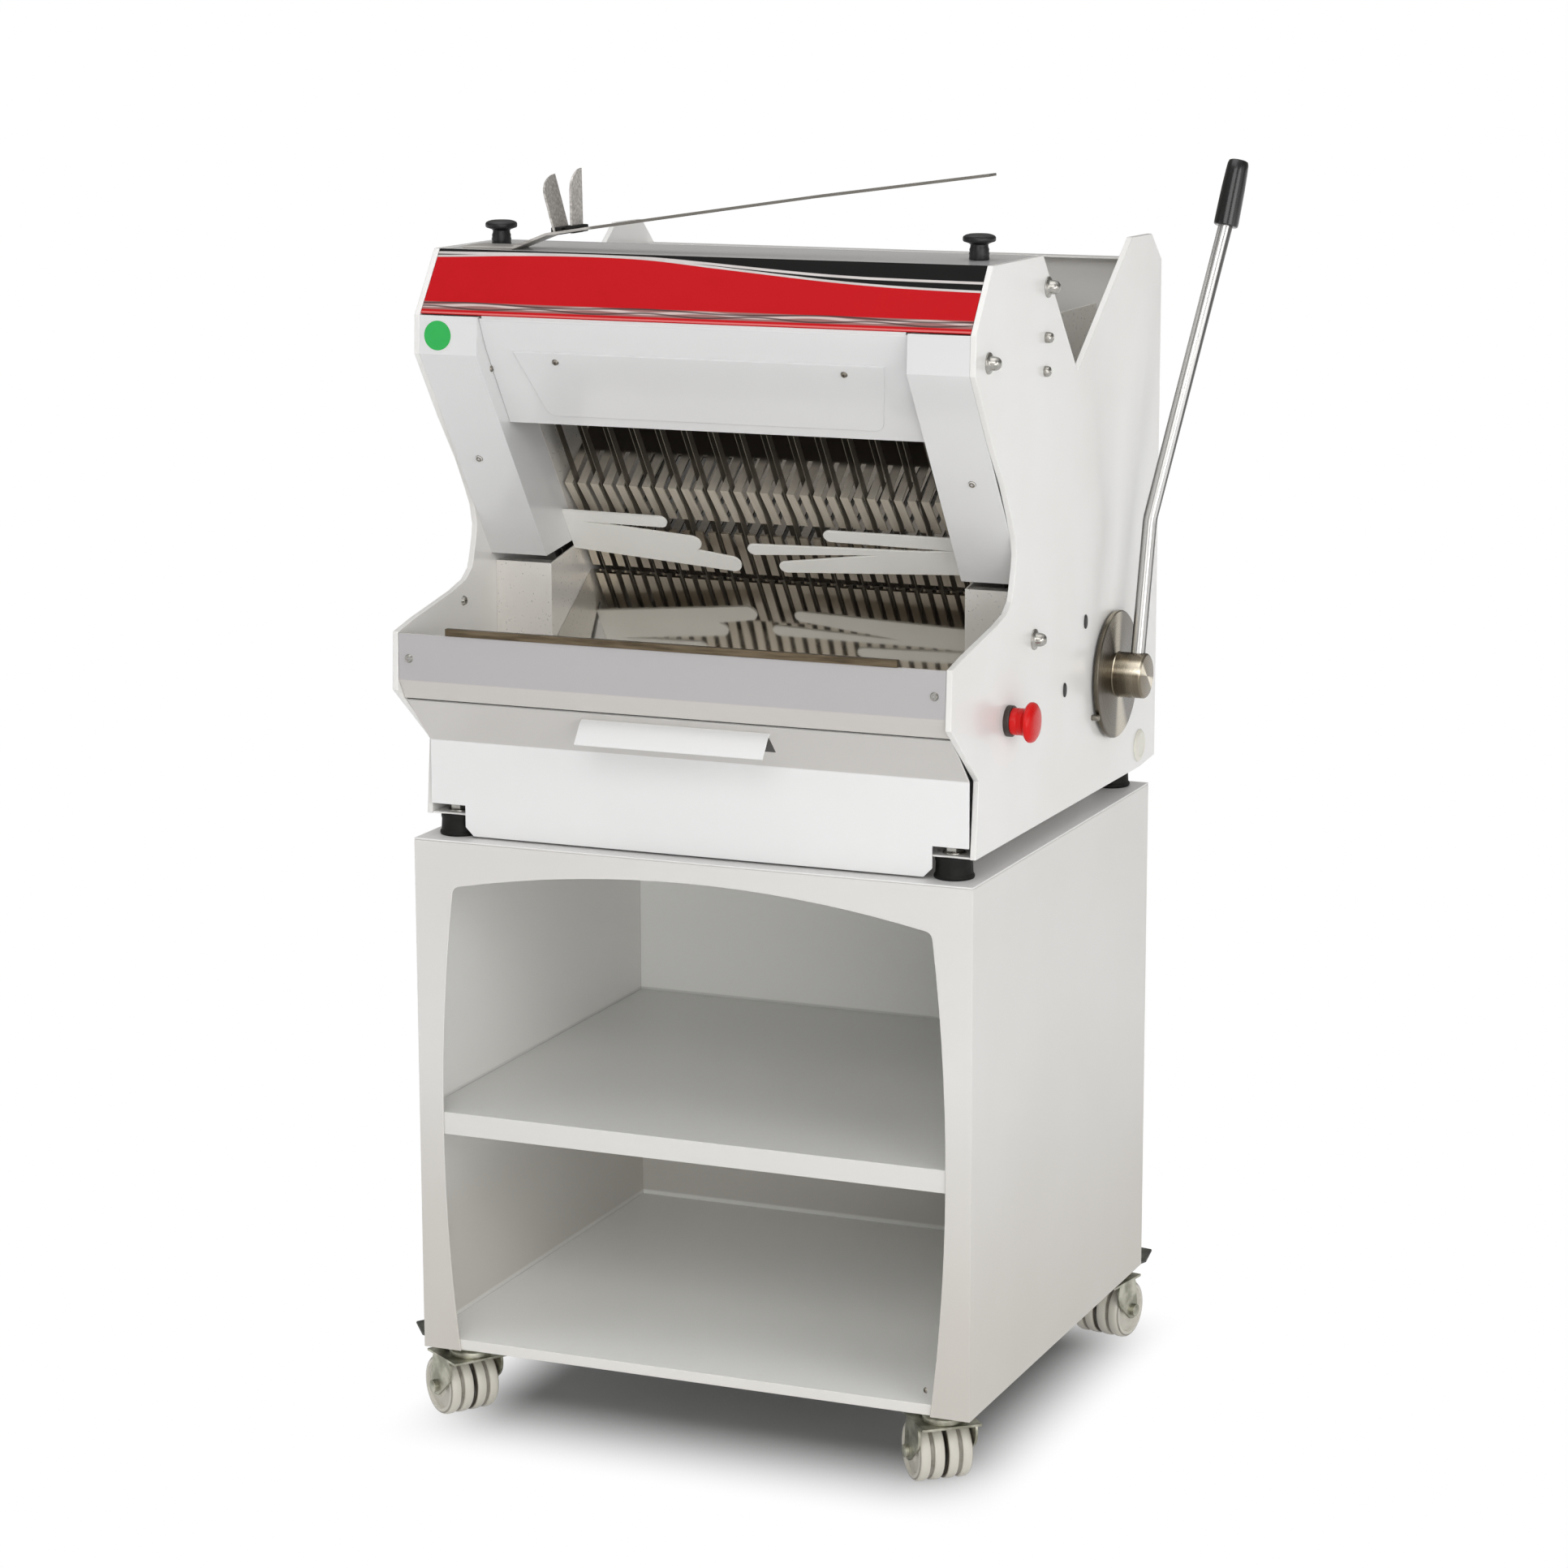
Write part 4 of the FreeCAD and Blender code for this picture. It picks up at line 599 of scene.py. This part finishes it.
plug_black = Finish("plug_black", {"Specular IOR Level": 0.5})
plug_black.mottled((200.0, shade(26, 26, 26), shade(48, 47, 45)), (600.0, 0.2, 0.35))
plugs = []
for y, z in ((338.0, 815.0), (275.0, 755.0)):
    plug = turned([(0, 0), (3.2, 0), (3.2, 1.2), (2.4, 2.0), (0, 2.0)], 24, 0.2)
    bmesh.ops.scale(plug, vec=(1.2, 2.3, 1.0), verts=plug.verts)
    plugs.append(moved(plug, aim((panel_face, y, z), (1, 0, 0))))
piece(joined(plugs), "oval_plugs", plug_black, "machine")
cap_white = Finish("cap_white", {"Specular IOR Level": 0.5})
cap_white.mottled((150.0, shade(226, 224, 214), shade(214, 212, 200)), (400.0, 0.15, 0.3))
cap = turned([(0, 0), (17.5, 0), (17.5, 0.8), (15.6, 2.4), (12.0, 3.0), (11.0, 2.2), (0, 2.0)], 48, 0.3)
piece(moved(cap, aim((panel_face, 519.0, 654.0), (1, 0, 0))), "blind_cap", cap_white, "machine")

# ---- motor and crank drive -----------------------------------------------------------------------
# A foot mounted motor turns the crankshaft through a belt. The turned crankshaft runs in two bored
# pedestals, and its eccentrics work the two blade frames against each other.
motor_paint = Finish("motor_enamel", {"Specular IOR Level": 0.5})
motor_paint.mottled((60.0, shade(96, 102, 108), shade(118, 124, 130)), (300.0, 0.2, 0.4),
                    (700.0, 0.0001, 0.4))
coat(motor_paint, "motor")
belt_rubber = Finish("belt_rubber", {"Specular IOR Level": 0.3})
belt_rubber.mottled((300.0, shade(34, 33, 32), shade(58, 56, 54)), (500.0, 0.2, 0.6))
coat(belt_rubber, "drive_belt")
turned_steel = Finish("turned_steel", {"Metallic": 1.0})
turned_spot = turned_steel.place()
turned_fine = turned_steel.grain(turned_steel.place(size=(0.02, 1, 1)), 900.0, 2.0)
turned_steel.wear(turned_steel.blend(turned_steel.grain(turned_spot, 40.0), shade(150, 148, 144),
                                     shade(186, 184, 180)),
                  turned_fine * 0.2 + 0.22, turned_fine, 0.00004, 0.4)
coat(turned_steel, "crankshaft", "motor_pulley", "guide_rods", "lever_shaft")

# ---- blade frames and blades ---------------------------------------------------------------------
# Two welded steel frames slide on guide rods, each strung with fifteen thin bevelled blades that stand
# one slice apart. The steel is ground along its length.
lean = math.radians(35)
blade_steel = Finish("blade_steel", {"Metallic": 0.6})
blade_along = blade_steel.grain(blade_steel.place(size=(1, 1, 30), tilt=lean), 900.0, 2.0)
blade_steel.wear(blade_steel.blend(blade_along, shade(82, 76, 68), shade(130, 123, 112)),
                 blade_along * 0.2 + 0.22, blade_along, 0.00003, 0.3)
frame_steel = Finish("frame_steel", {"Metallic": 0.9})
frame_steel.mottled((30.0, shade(92, 89, 82), shade(140, 136, 128)), (200.0, 0.2, 0.35))
coat(blade_steel, "blades_front", "blades_rear")
coat(frame_steel, "blade_frame_front", "blade_frame_rear")

# ---- bread channel, tray and lip -----------------------------------------------------------------
# The walls and faces beside the tray are satin sheet steel. The tray is polished stainless, bent up to
# the blades, and a brass coloured seal strip lies on its front edge over the painted lip.
box_paint = Finish("box_satin", {"Specular IOR Level": 0.5, "Metallic": 0.35})
box_paint.mottled((12.0, shade(238, 235, 230), shade(228, 225, 219)), (300.0, 0.1, 0.24))
for node in ("side_box_left", "side_box_right"):
    rounded(node, node + "_sheet", box_paint, 0.5)
polished = Finish("polished_stainless", {"Metallic": 1.0})
tray_top = 827.2
tray_y, tray_z = polished.parts(polished.place(at(0, 0, tray_top)))[1:]
tray_wave = polished.grain(polished.place(size=(0.5, 0.12, 0.12)), 1.6, 2.0)
tray_fine = polished.grain(polished.place(size=(0.4, 0.004, 0.004)), 2.0, 2.0)
strip_mask = tray_z.rise(0.0, 0.0002) * tray_y.rise(-0.0415, -0.0425)
strip_mark = polished.grain(polished.place(size=(0.05, 0.004, 0.004)), 1.2, 3.0)
strip_tone = polished.blend(strip_mark.rise(0.3, 0.75), shade(122, 108, 88), shade(84, 74, 60))
tray_tone = polished.blend(tray_wave, shade(196, 193, 187), shade(212, 209, 203))
polished.wear(polished.blend(strip_mask, tray_tone, strip_tone),
              strip_mask * 0.3 + tray_fine * 0.04 + 0.05, tray_wave + tray_fine * 0.01, 0.0002, 0.4)
rounded("output_tray", "polished_tray", polished, 0.4)
lip_finish = Finish("lip_powder_paint", {"Specular IOR Level": 0.5, "Coat Weight": 0.2,
                                         "Coat Roughness": 0.15})
lip_spot = lip_finish.place()
lip_fold = 780.0
lip_z = lip_finish.parts(lip_finish.place(at(0, 0, lip_fold)))[2]
lip_tone = lip_finish.blend(lip_finish.grain(lip_spot, 5.0), shade(178, 175, 176), shade(173, 170, 171))
# Below the fold the lip is painted lighter: painted light on the fold that faces down.
lip_finish.wear(lip_finish.blend(lip_z.rise(0.001, -0.001), lip_tone, shade(197, 193, 188)),
                lip_finish.grain(lip_spot, 500.0) * 0.1 + 0.26,
                lip_finish.grain(lip_spot, 900.0), 0.00005, 0.25)
rounded("lip_panel", "folded_lip", lip_finish, 0.5)
lip_screws = []
for x in (-277.2, 277.2):
    lip_screws.append(moved(screw(4.4, 2.0), aim((x, -46.4, 802.0), (0, -1, 0))))
piece(joined(lip_screws), "lip_screws", bright_zinc, "machine", sharp=25)

# ---- chute, hopper, pusher and press comb --------------------------------------------------------
# The loaf slides down a slotted stainless chute from the hopper. The pusher comb and the press comb
# are stainless, slotted so that the blades pass between their pads.
comb_steel = Finish("comb_steel", {"Metallic": 1.0})
comb_line = comb_steel.grain(comb_steel.place(size=(1, 1, 20), tilt=lean), 500.0, 2.0)
comb_steel.wear(comb_steel.blend(comb_line, shade(196, 186, 172), shade(222, 214, 202)),
                comb_line * 0.15 + 0.3, comb_line, 0.00003, 0.3)
chute_steel = Finish("chute_steel", {"Metallic": 0.9})
chute_line = chute_steel.grain(chute_steel.place(size=(0.3, 0.01, 0.01)), 3.0, 3.0)
# The chute steel is toned dark below z 1120, painted shade under the hood, and light above it, painted light
# on the hopper.
chute_light_from = 1120.0
chute_z = chute_steel.parts(chute_steel.place(at(0, 0, chute_light_from)))[2]
chute_shaded_tone = chute_steel.blend(chute_line, shade(74, 70, 64), shade(112, 106, 98))
chute_steel.wear(chute_steel.blend(chute_z.rise(-0.03, 0.02), chute_shaded_tone, shade(206, 203, 197)),
                 chute_line * 0.16 + 0.34)
coat(chute_steel, "hopper_plate", "chute_floor")
coat(comb_steel, "pusher_comb")
press_steel = Finish("press_steel", {"Metallic": 0.35, "Specular IOR Level": 0.5})
press_line = press_steel.grain(press_steel.place(size=(0.02, 0.3, 0.3)), 4.0, 3.0)
# Above z 975 the press comb is painted dark: painted shade under the hood.
press_shade_from = 975.0
press_z = press_steel.parts(press_steel.place(at(0, 0, press_shade_from)))[2]
press_tone = press_steel.blend(press_line, shade(202, 192, 176), shade(228, 220, 206))
press_steel.wear(press_steel.blend(press_z.rise(-0.002, 0.006), press_tone, shade(66, 60, 53)),
                 press_line * 0.2 + 0.3)
coat(press_steel, "press_comb")

# ---- finger guards -------------------------------------------------------------------------------
# Two stepped guard plates with long round nosed fingers keep the slices upright in front of the
# blades. They are cut from sheet and painted satin white.
guard_paint = Finish("guard_satin_white", {"Specular IOR Level": 0.4})
guard_paint.mottled((14.0, shade(243, 242, 238), shade(234, 233, 228)), (300.0, 0.1, 0.3))
for side_name in ("left", "right"):
    rounded("finger_guard_" + side_name, "guard_fingers_" + side_name, guard_paint, 0.7)

# ---- hood ----------------------------------------------------------------------------------------
# Two folded pillars carry the hood over the blades. A bent inner sheet with a screwed guard plate,
# a top sheet, the printed front plate and two turning knobs complete it.
pillar_paint = Finish("pillar_gloss_paint", {"Specular IOR Level": 0.55, "Coat Weight": 0.5,
                                             "Coat Roughness": 0.08})
pillar_paint.mottled((6.0, shade(221, 221, 221), shade(215, 215, 215)), (500.0, 0.08, 0.2),
                     (800.0, 0.00004, 0.2))
for node in ("hood_pillar_left", "hood_pillar_right", "hood_inner_panel", "hood_top"):
    rounded(node, node.replace("hood_", "hood_sheet_"), pillar_paint, 0.6)
hood_flange = block(-223.0, 223.0, 16.5, 19.0, 1131.0, 1137.5)
round_off(hood_flange, 0.6)
piece(hood_flange, "hood_flange", pillar_paint, "machine")

fascia = Finish("fascia_print", {"Specular IOR Level": 0.08})
fascia_low, fascia_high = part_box("fascia_plate")
fascia_size = (fascia_high.x - fascia_low.x, 1, fascia_high.z - fascia_low.z)
fascia_x, fascia_z = fascia.parts(fascia.place(fascia_low, 0.0, fascia_size))[::2]


def height_line(stops):
    """Height across the print of a line that runs from end to end."""
    return fascia.node("ShaderNodeValToRGB",
                       {"stops": [(u, (v, v, v, 1)) for u, v in stops], "smoothing": "B_SPLINE"},
                       {0: fascia_x})


def band(middle, half, soft=0.006):
    """1 within half of a line, fading over soft."""
    return abs(fascia_z - middle).rise(half + soft, half - soft)


red_edge = height_line([(0.0, 0.875), (0.12, 0.93), (0.28, 0.965), (0.4, 0.94), (0.5, 0.86), (0.62, 0.775),
                        (0.74, 0.69), (0.86, 0.64), (1.0, 0.615)])
inner_line = height_line([(0.0, 0.93), (0.2, 0.965), (0.4, 0.955), (0.5, 0.90), (0.6, 0.84), (0.7, 0.785),
                          (0.8, 0.755), (1.0, 0.74)])
wave_slow = fascia.node("ShaderNodeMath", {"operation": "SINE"}, {0: fascia_x * 19.0})
wave_fast = fascia.node("ShaderNodeMath", {"operation": "SINE"}, {0: fascia_x * 31.0 + 1.2})
above_red = (fascia_z - red_edge).rise(-0.004, 0.004)
silver_top = band(red_edge, 0.016) + band(inner_line, 0.018)
foot_band = fascia_z.rise(0.205, 0.19) * fascia_z.rise(0.075, 0.09)
foot_dark = band(wave_slow * 0.018 + 0.175, 0.012) + band(wave_fast * 0.02 + 0.115, 0.011)
foot_light = band(wave_fast * -0.02 + 0.15, 0.02, 0.012)
red_tone = fascia.blend(fascia.grain(fascia.place(), 20.0), shade(191, 18, 26), shade(183, 14, 22))
black_tone = fascia.blend(fascia.grain(fascia.place(), 30.0), shade(10, 10, 10), shade(18, 17, 16))
silver_tone = fascia.blend(fascia.grain(fascia.place(size=(0.05, 1, 0.01)), 1.0), shade(226, 220, 218),
                           shade(168, 162, 160))
print_tone = fascia.blend(above_red, red_tone, black_tone)
print_tone = fascia.blend(silver_top.rise(0.0, 1.0), print_tone, silver_tone)
print_tone = fascia.blend(foot_band * 0.85, print_tone,
                          fascia.blend(foot_light.rise(0.0, 1.0), shade(138, 116, 112), shade(206, 196, 192)))
print_tone = fascia.blend(foot_dark.rise(0.0, 1.0) * 0.8, print_tone, shade(58, 44, 44))
print_tone = fascia.blend(band(0.035, 0.012) * 0.5, print_tone, shade(236, 150, 146))
fascia.wear(print_tone, fascia.grain(fascia.place(), 300.0) * 0.06 + 0.42)
rounded("fascia_plate", "printed_fascia", fascia, 0.4)

pillar_foot = Vector((0, 162.0, 878.0))
pillar_head = Vector((0, 11.0, 1097.0))
pillar_screw = 985.0
pillar_way = (pillar_head - pillar_foot).normalized()
pillar_out = Vector((0, -pillar_way.z, pillar_way.y))
pillar_at = pillar_foot.lerp(pillar_head, (pillar_screw - pillar_foot.z) / (pillar_head.z - pillar_foot.z))
plate_foot = Vector((0, 82.0, 1024.0))
plate_head = Vector((0, 30.0, 1103.0))
plate_screw = 1092.0
plate_way = plate_head - plate_foot
plate_out = Vector((0, -plate_way.z, plate_way.y)).normalized()
plate_at = plate_foot.lerp(plate_head, (plate_screw - plate_foot.z) / plate_way.z) + plate_out * 1.5
hood_screws = []
for sign in (1, -1):
    hood_screws.append(moved(screw(4.0, 1.8), aim(pillar_at + Vector((sign * 264.0, 0, 0)), pillar_out)))
    hood_screws.append(moved(screw(3.6, 1.8), aim(plate_at + Vector((sign * 152.5, 0, 0)), plate_out)))
    hood_screws.append(moved(screw(3.4, 1.6), aim((sign * 226.0, 43.0, 1081.5), (-sign, 0, 0))))
piece(joined(hood_screws), "hood_screws", steel_screw, "machine", sharp=25)
sticker_green = Finish("sticker_green", {"Specular IOR Level": 0.4})
sticker_green.mottled((90.0, shade(46, 176, 84), shade(40, 164, 76)), (300.0, 0.1, 0.35))
sticker = turned([(0, 0), (14.6, 0), (14.6, 0.12), (0, 0.12)], 48)
piece(moved(sticker, aim((-269.0, 11.85, 1115.5), (0, -1, 0.052))), "round_sticker", sticker_green, "machine")

knob_black = Finish("knob_black", {"Specular IOR Level": 0.4})
knob_black.mottled((160.0, shade(12, 12, 13), shade(28, 28, 29)), (500.0, 0.15, 0.3), (1500.0, 0.00004, 0.3))
knob = [(0, 0), (9.6, 0), (10.0, 0.8), (9.6, 4.0), (10.0, 6.0), (9.4, 8.0), (9.6, 10.0), (8.8, 12.0),
        (8.6, 14.4), (9.8, 15.6), (12.8, 16.6), (15.2, 17.4), (16.0, 18.6), (16.0, 21.2), (15.2, 22.6),
        (13.0, 23.8), (10.0, 24.6), (7.0, 24.2), (0, 23.6)]
for sign, key in ((1, "right"), (-1, "left")):
    seat = Matrix.Translation((sign * 255.0, 128.0, 1196.3))
    piece(moved(turned(knob, 48), seat), "hood_knob_" + key, knob_black, key + "_knob",
          ("knob_" + key,))

# ---- feed lever ----------------------------------------------------------------------------------
# A turned disc and hub sit on the shaft outside the right panel. The bent chromed rod is screwed into
# the hub, and a black moulded grip is pushed on its end. A stop pin stands beside the disc.
pivot = (424.23, 746.92)
hub_steel = Finish("hub_turned_steel", {"Metallic": 1.0})
hub_x, hub_y, hub_z = hub_steel.parts(hub_steel.place(at(panel_face, *pivot)))
hub_out = (hub_y * hub_y + hub_z * hub_z) ** 0.5
hub_angle = hub_steel.node("ShaderNodeMath", {"operation": "ARCTAN2"}, {0: hub_z, 1: hub_y})
hub_body = hub_out.rise(0.0245, 0.0238)
# Bright wedges at set angles about the shaft are painted on the disc and the hub: painted highlights of the
# turned steel.
hub_highlight_shift = -1.74
disc_highlight_turn = 4.36
hub_highlight_wave = hub_steel.node("ShaderNodeMath", {"operation": "SINE"},
                            {0: hub_angle * 2.0 + hub_body * hub_highlight_shift + disc_highlight_turn})
hub_ring = hub_steel.node("ShaderNodeMath", {"operation": "SINE"}, {0: hub_out * 9000.0})
hub_round = hub_steel.node("ShaderNodeCombineXYZ", {}, {0: hub_out * 900.0, 1: 0.0, 2: hub_x * 300.0})
hub_grain = hub_steel.grain(hub_round, 1.0)
hub_painted_highlight = hub_highlight_wave.rise(0.72, 1.0) * (hub_body * 0.5 + 0.5) + hub_grain * 0.15
hub_low = hub_steel.blend(hub_body, shade(72, 66, 57), shade(112, 103, 88))
hub_steel.wear(hub_steel.blend(hub_painted_highlight, hub_low, shade(232, 222, 202)),
               hub_grain * 0.14 + 0.2, hub_ring * 0.3 + hub_grain, 0.00004, 0.35)
disc = turned([(0, 0), (64.5, 0), (66.5, 1.6), (66.5, 5.0), (65.4, 6.0), (24.0, 6.0), (24.0, 7.0), (0, 7.0)],
              96, 0.25)
hub = turned([(0, 6.4), (23.2, 6.4), (23.5, 7.4), (23.5, 35.0), (21.8, 36.8), (0, 37.0)], 64, 0.3)
disc_gap = 2.0
piece(moved(joined([disc, hub]), aim((panel_face + disc_gap, *pivot), (1, 0, 0))), "lever_disc_and_hub",
      hub_steel, "feed_lever", ("lever_hub",))

bend = Vector((322.0, 463.5, 905.0))
grip_low = Vector((375.0, 538.0, 1203.0))
grip_top = Vector((383.0, 555.0, 1270.0))
root = Vector((322.0, *pivot))
lower = (bend - root).normalized()
upper = (grip_top - bend).normalized()
chrome = Finish("chromed_rod", {"Metallic": 0.45, "Specular IOR Level": 0.6})
chrome_long = chrome.grain(chrome.place(size=(0.02, 0.02, 0.5)), 1.2, 2.0)
rod_x, rod_y, rod_z = chrome.parts(chrome.place(at(*bend)))
rod_above = (rod_z + abs(rod_z)) * 0.5
rod_thick = 0.015
# Light and dark lines along the rod, laid across its front right side, are painted reflections.
reflection_turn = math.radians(22.8)
rod_side = ((rod_x - rod_above * (upper.x / upper.z)) * math.cos(reflection_turn)
            + (rod_y - rod_z * (upper.y / upper.z)) * math.sin(reflection_turn))
rod_painted_reflection = [(0.0, 84), (0.07, 120), (0.14, 178), (0.28, 198), (0.33, 112), (0.38, 176), (0.5, 208),
             (0.62, 232), (0.68, 146), (0.74, 196), (0.84, 208), (0.9, 92), (0.95, 70), (1.0, 84)]
chrome.wear(chrome.node("ShaderNodeValToRGB", {"stops": [(u, shade(v, v - 1, v - 3)) for u, v in rod_painted_reflection]},
                        {0: rod_side / rod_thick + 0.5}), chrome_long * 0.03 + 0.2)


def bar(path, radius, steps=28, bend_radius=70.0):
    """A round bar along two straight runs with a smooth bend between them."""
    first, knee, last = path
    way_in = (knee - first).normalized()
    way_out = (last - knee).normalized()
    half_angle = way_in.angle(way_out) / 2
    back = bend_radius * math.tan(half_angle)
    begin = knee - way_in * back
    bm = bmesh.new()
    bmesh.ops.create_circle(bm, cap_ends=True, segments=steps, radius=radius,
                            matrix=aim(first, way_in))
    grown = bmesh.ops.extrude_face_region(bm, geom=bm.faces[:])
    ring = [v for v in grown["geom"] if isinstance(v, bmesh.types.BMVert)]
    bmesh.ops.translate(bm, vec=begin - first, verts=ring)
    axis = way_in.cross(way_out).normalized()
    middle = begin + axis.cross(way_in).normalized() * bend_radius
    cap_face = [f for f in grown["geom"] if isinstance(f, bmesh.types.BMFace)]
    spun = bmesh.ops.spin(bm, geom=cap_face, cent=middle, axis=axis, dvec=(0, 0, 0), angle=2 * half_angle,
                          steps=10, use_merge=False, use_duplicate=False)
    end_face = [f for f in spun["geom_last"] if isinstance(f, bmesh.types.BMFace)]
    grown = bmesh.ops.extrude_face_region(bm, geom=end_face)
    ring = [v for v in grown["geom"] if isinstance(v, bmesh.types.BMVert)]
    end = knee + way_out * back
    bmesh.ops.translate(bm, vec=last - end, verts=ring)
    bmesh.ops.delete(bm, geom=[f for f in cap_face + end_face if f.is_valid], context="FACES_ONLY")
    bmesh.ops.recalc_face_normals(bm, faces=bm.faces)
    return bm


piece(bar((root + lower * 13.0, bend, grip_low + upper * 20.0), 7.5), "lever_bar", chrome, "feed_lever",
      ("lever_rod",))
grip_black = Finish("grip_black", {"Specular IOR Level": 0.5, "Coat Weight": 0.25,
                                   "Coat Roughness": 0.1})
grip_black.mottled((200.0, shade(8, 8, 8), shade(18, 18, 18)), (300.0, 0.06, 0.24))
grip = turned([(7.6, 0), (11.6, 0), (12.6, 1.0), (12.8, 4.0), (12.6, 20.0), (12.2, 40.0), (11.4, 58.0),
               (10.9, 65.0), (9.8, 68.2), (7.6, 69.2), (0, 69.6)], 44)
piece(moved(grip, aim(grip_low, grip_top - grip_low)), "lever_handle_grip", grip_black, "feed_lever",
      ("lever_grip",))
stop_way = Vector((0, -61.3, -35.8)).normalized()
stop_reach = 71.0
stop_at = Vector((panel_face, *pivot)) + stop_way * stop_reach
stop_pin = turned([(0, 0), (3.0, 0), (3.0, 7.2), (2.2, 8.0), (0, 8.0)], 24, 0.2)
piece(moved(stop_pin, aim(stop_at, (1, 0, 0))), "stop_pin", steel_screw, "machine",
      ("side_fasteners",))

# ---- crumb drawer --------------------------------------------------------------------------------
# A folded box drawer slides on two runners and catches the crumbs. Its painted front leans out at the
# top and carries a bent sheet handle.
drawer_paint = Finish("drawer_powder_paint", {"Specular IOR Level": 0.5, "Coat Weight": 0.2,
                                              "Coat Roughness": 0.15})
drawer_spot = drawer_paint.place()
drawer_x, drawer_y, drawer_z = drawer_paint.parts(drawer_paint.place(at(0, 18, 708)))
slope_lean = math.atan2(48.0, 49.0)
slope_off = drawer_y * math.cos(slope_lean) + drawer_z * math.sin(slope_lean)
slope_shade_mask = abs(slope_off).rise(0.0012, 0.0008) * drawer_z.rise(0.0004, 0.0016)
# A dark patch is painted on the slope behind the handle flap: painted shade.
flap_shade_half = 0.09625
flap_shade_low = 0.01875
flap_shade_high = 0.04025
flap_shade_mask = (slope_shade_mask * abs(drawer_x).rise(flap_shade_half + 0.00025, flap_shade_half - 0.00025)
             * drawer_z.rise(flap_shade_low - 0.00025, flap_shade_low + 0.00025)
             * drawer_z.rise(flap_shade_high + 0.00025, flap_shade_high - 0.00025))
drawer_tone = drawer_paint.blend(drawer_paint.grain(drawer_spot, 4.0), shade(232, 232, 232),
                                 shade(227, 227, 226))
# The leaning slope is painted darker than the front: painted shade.
drawer_tone = drawer_paint.blend(slope_shade_mask, drawer_tone, shade(201, 198, 194))
drawer_paint.wear(drawer_paint.blend(flap_shade_mask, drawer_tone, shade(46, 42, 38)),
                  drawer_paint.grain(drawer_spot, 500.0) * 0.1 + 0.28,
                  drawer_paint.grain(drawer_spot, 900.0), 0.00005, 0.28)
rounded("crumb_drawer", "drawer_sheet", drawer_paint, 0.5)

# ---- emergency stop ------------------------------------------------------------------------------
# A black collar is screwed into the right panel. The moulded red mushroom button pushes in.
stop_black = Finish("collar_black", {"Specular IOR Level": 0.5})
stop_black.mottled((200.0, shade(38, 28, 25), shade(56, 45, 40)), (500.0, 0.15, 0.35))
stop_seat = aim((panel_face, 108.0, 753.0), (1, 0, 0))
collar = turned([(13.6, 0), (15.0, 0), (15.4, 0.5), (15.4, 5.4), (14.9, 6.0), (13.6, 6.0)], 56, 0.15)
piece(moved(collar, stop_seat), "stop_collar", stop_black, "machine", ("estop_base",))
stop_red = Finish("button_red", {"Specular IOR Level": 0.25})
stop_red.mottled((120.0, shade(198, 10, 10), shade(206, 16, 16)), (500.0, 0.1, 0.24))
button = turned([(0, 4.3), (13.2, 4.3), (13.3, 11.6), (12.8, 12.4), (13.3, 13.2), (13.4, 17.6), (15.4, 19.8),
                 (18.4, 21.2), (19.8, 22.8), (19.9, 25.0), (19.0, 27.2), (16.0, 29.2), (10.0, 30.4),
                 (0, 30.8)], 56)
piece(moved(button, stop_seat), "stop_mushroom", stop_red, "stop_button",
      ("estop_button",))

# ---- bag guide -----------------------------------------------------------------------------------
# A long tapered stainless strip rises from the hood and holds the mouth of a bag. Two short leaves
# with rubber bases clip the bag to it.
guide_steel = Finish("guide_steel", {"Metallic": 0.6})
guide_line = guide_steel.grain(guide_steel.place(size=(0.3, 0.01, 0.01)), 3.0, 3.0)
# From about x -135 rightwards the guide is toned darker.
guide_darker_from = -150.0
guide_x = guide_steel.parts(guide_steel.place(at(guide_darker_from, 0, 0)))[0]
guide_tone = guide_steel.blend(guide_line.rise(0.2, 0.8), shade(150, 146, 141), shade(212, 208, 203))
guide_steel.wear(guide_steel.blend(guide_x.rise(0.012, 0.02), guide_tone, shade(118, 114, 108)),
                 guide_line * 0.16 + 0.34)
rounded("bag_guide", "bag_guide_strip", guide_steel, 0.5)
leaf_y = 96.0
rubber_bases = []
for x, z in ((-171.5, 1213.5), (-156.0, 1215.5)):
    rubber_bases.append(block(x - 6.0, x + 6.0, leaf_y - 15.0, leaf_y + 15.0, z - 1.5, z + 5.5))
base_rubber = joined(rubber_bases)
round_off(base_rubber, 1.2)
piece(base_rubber, "leaf_bases", foot_rubber, "machine")
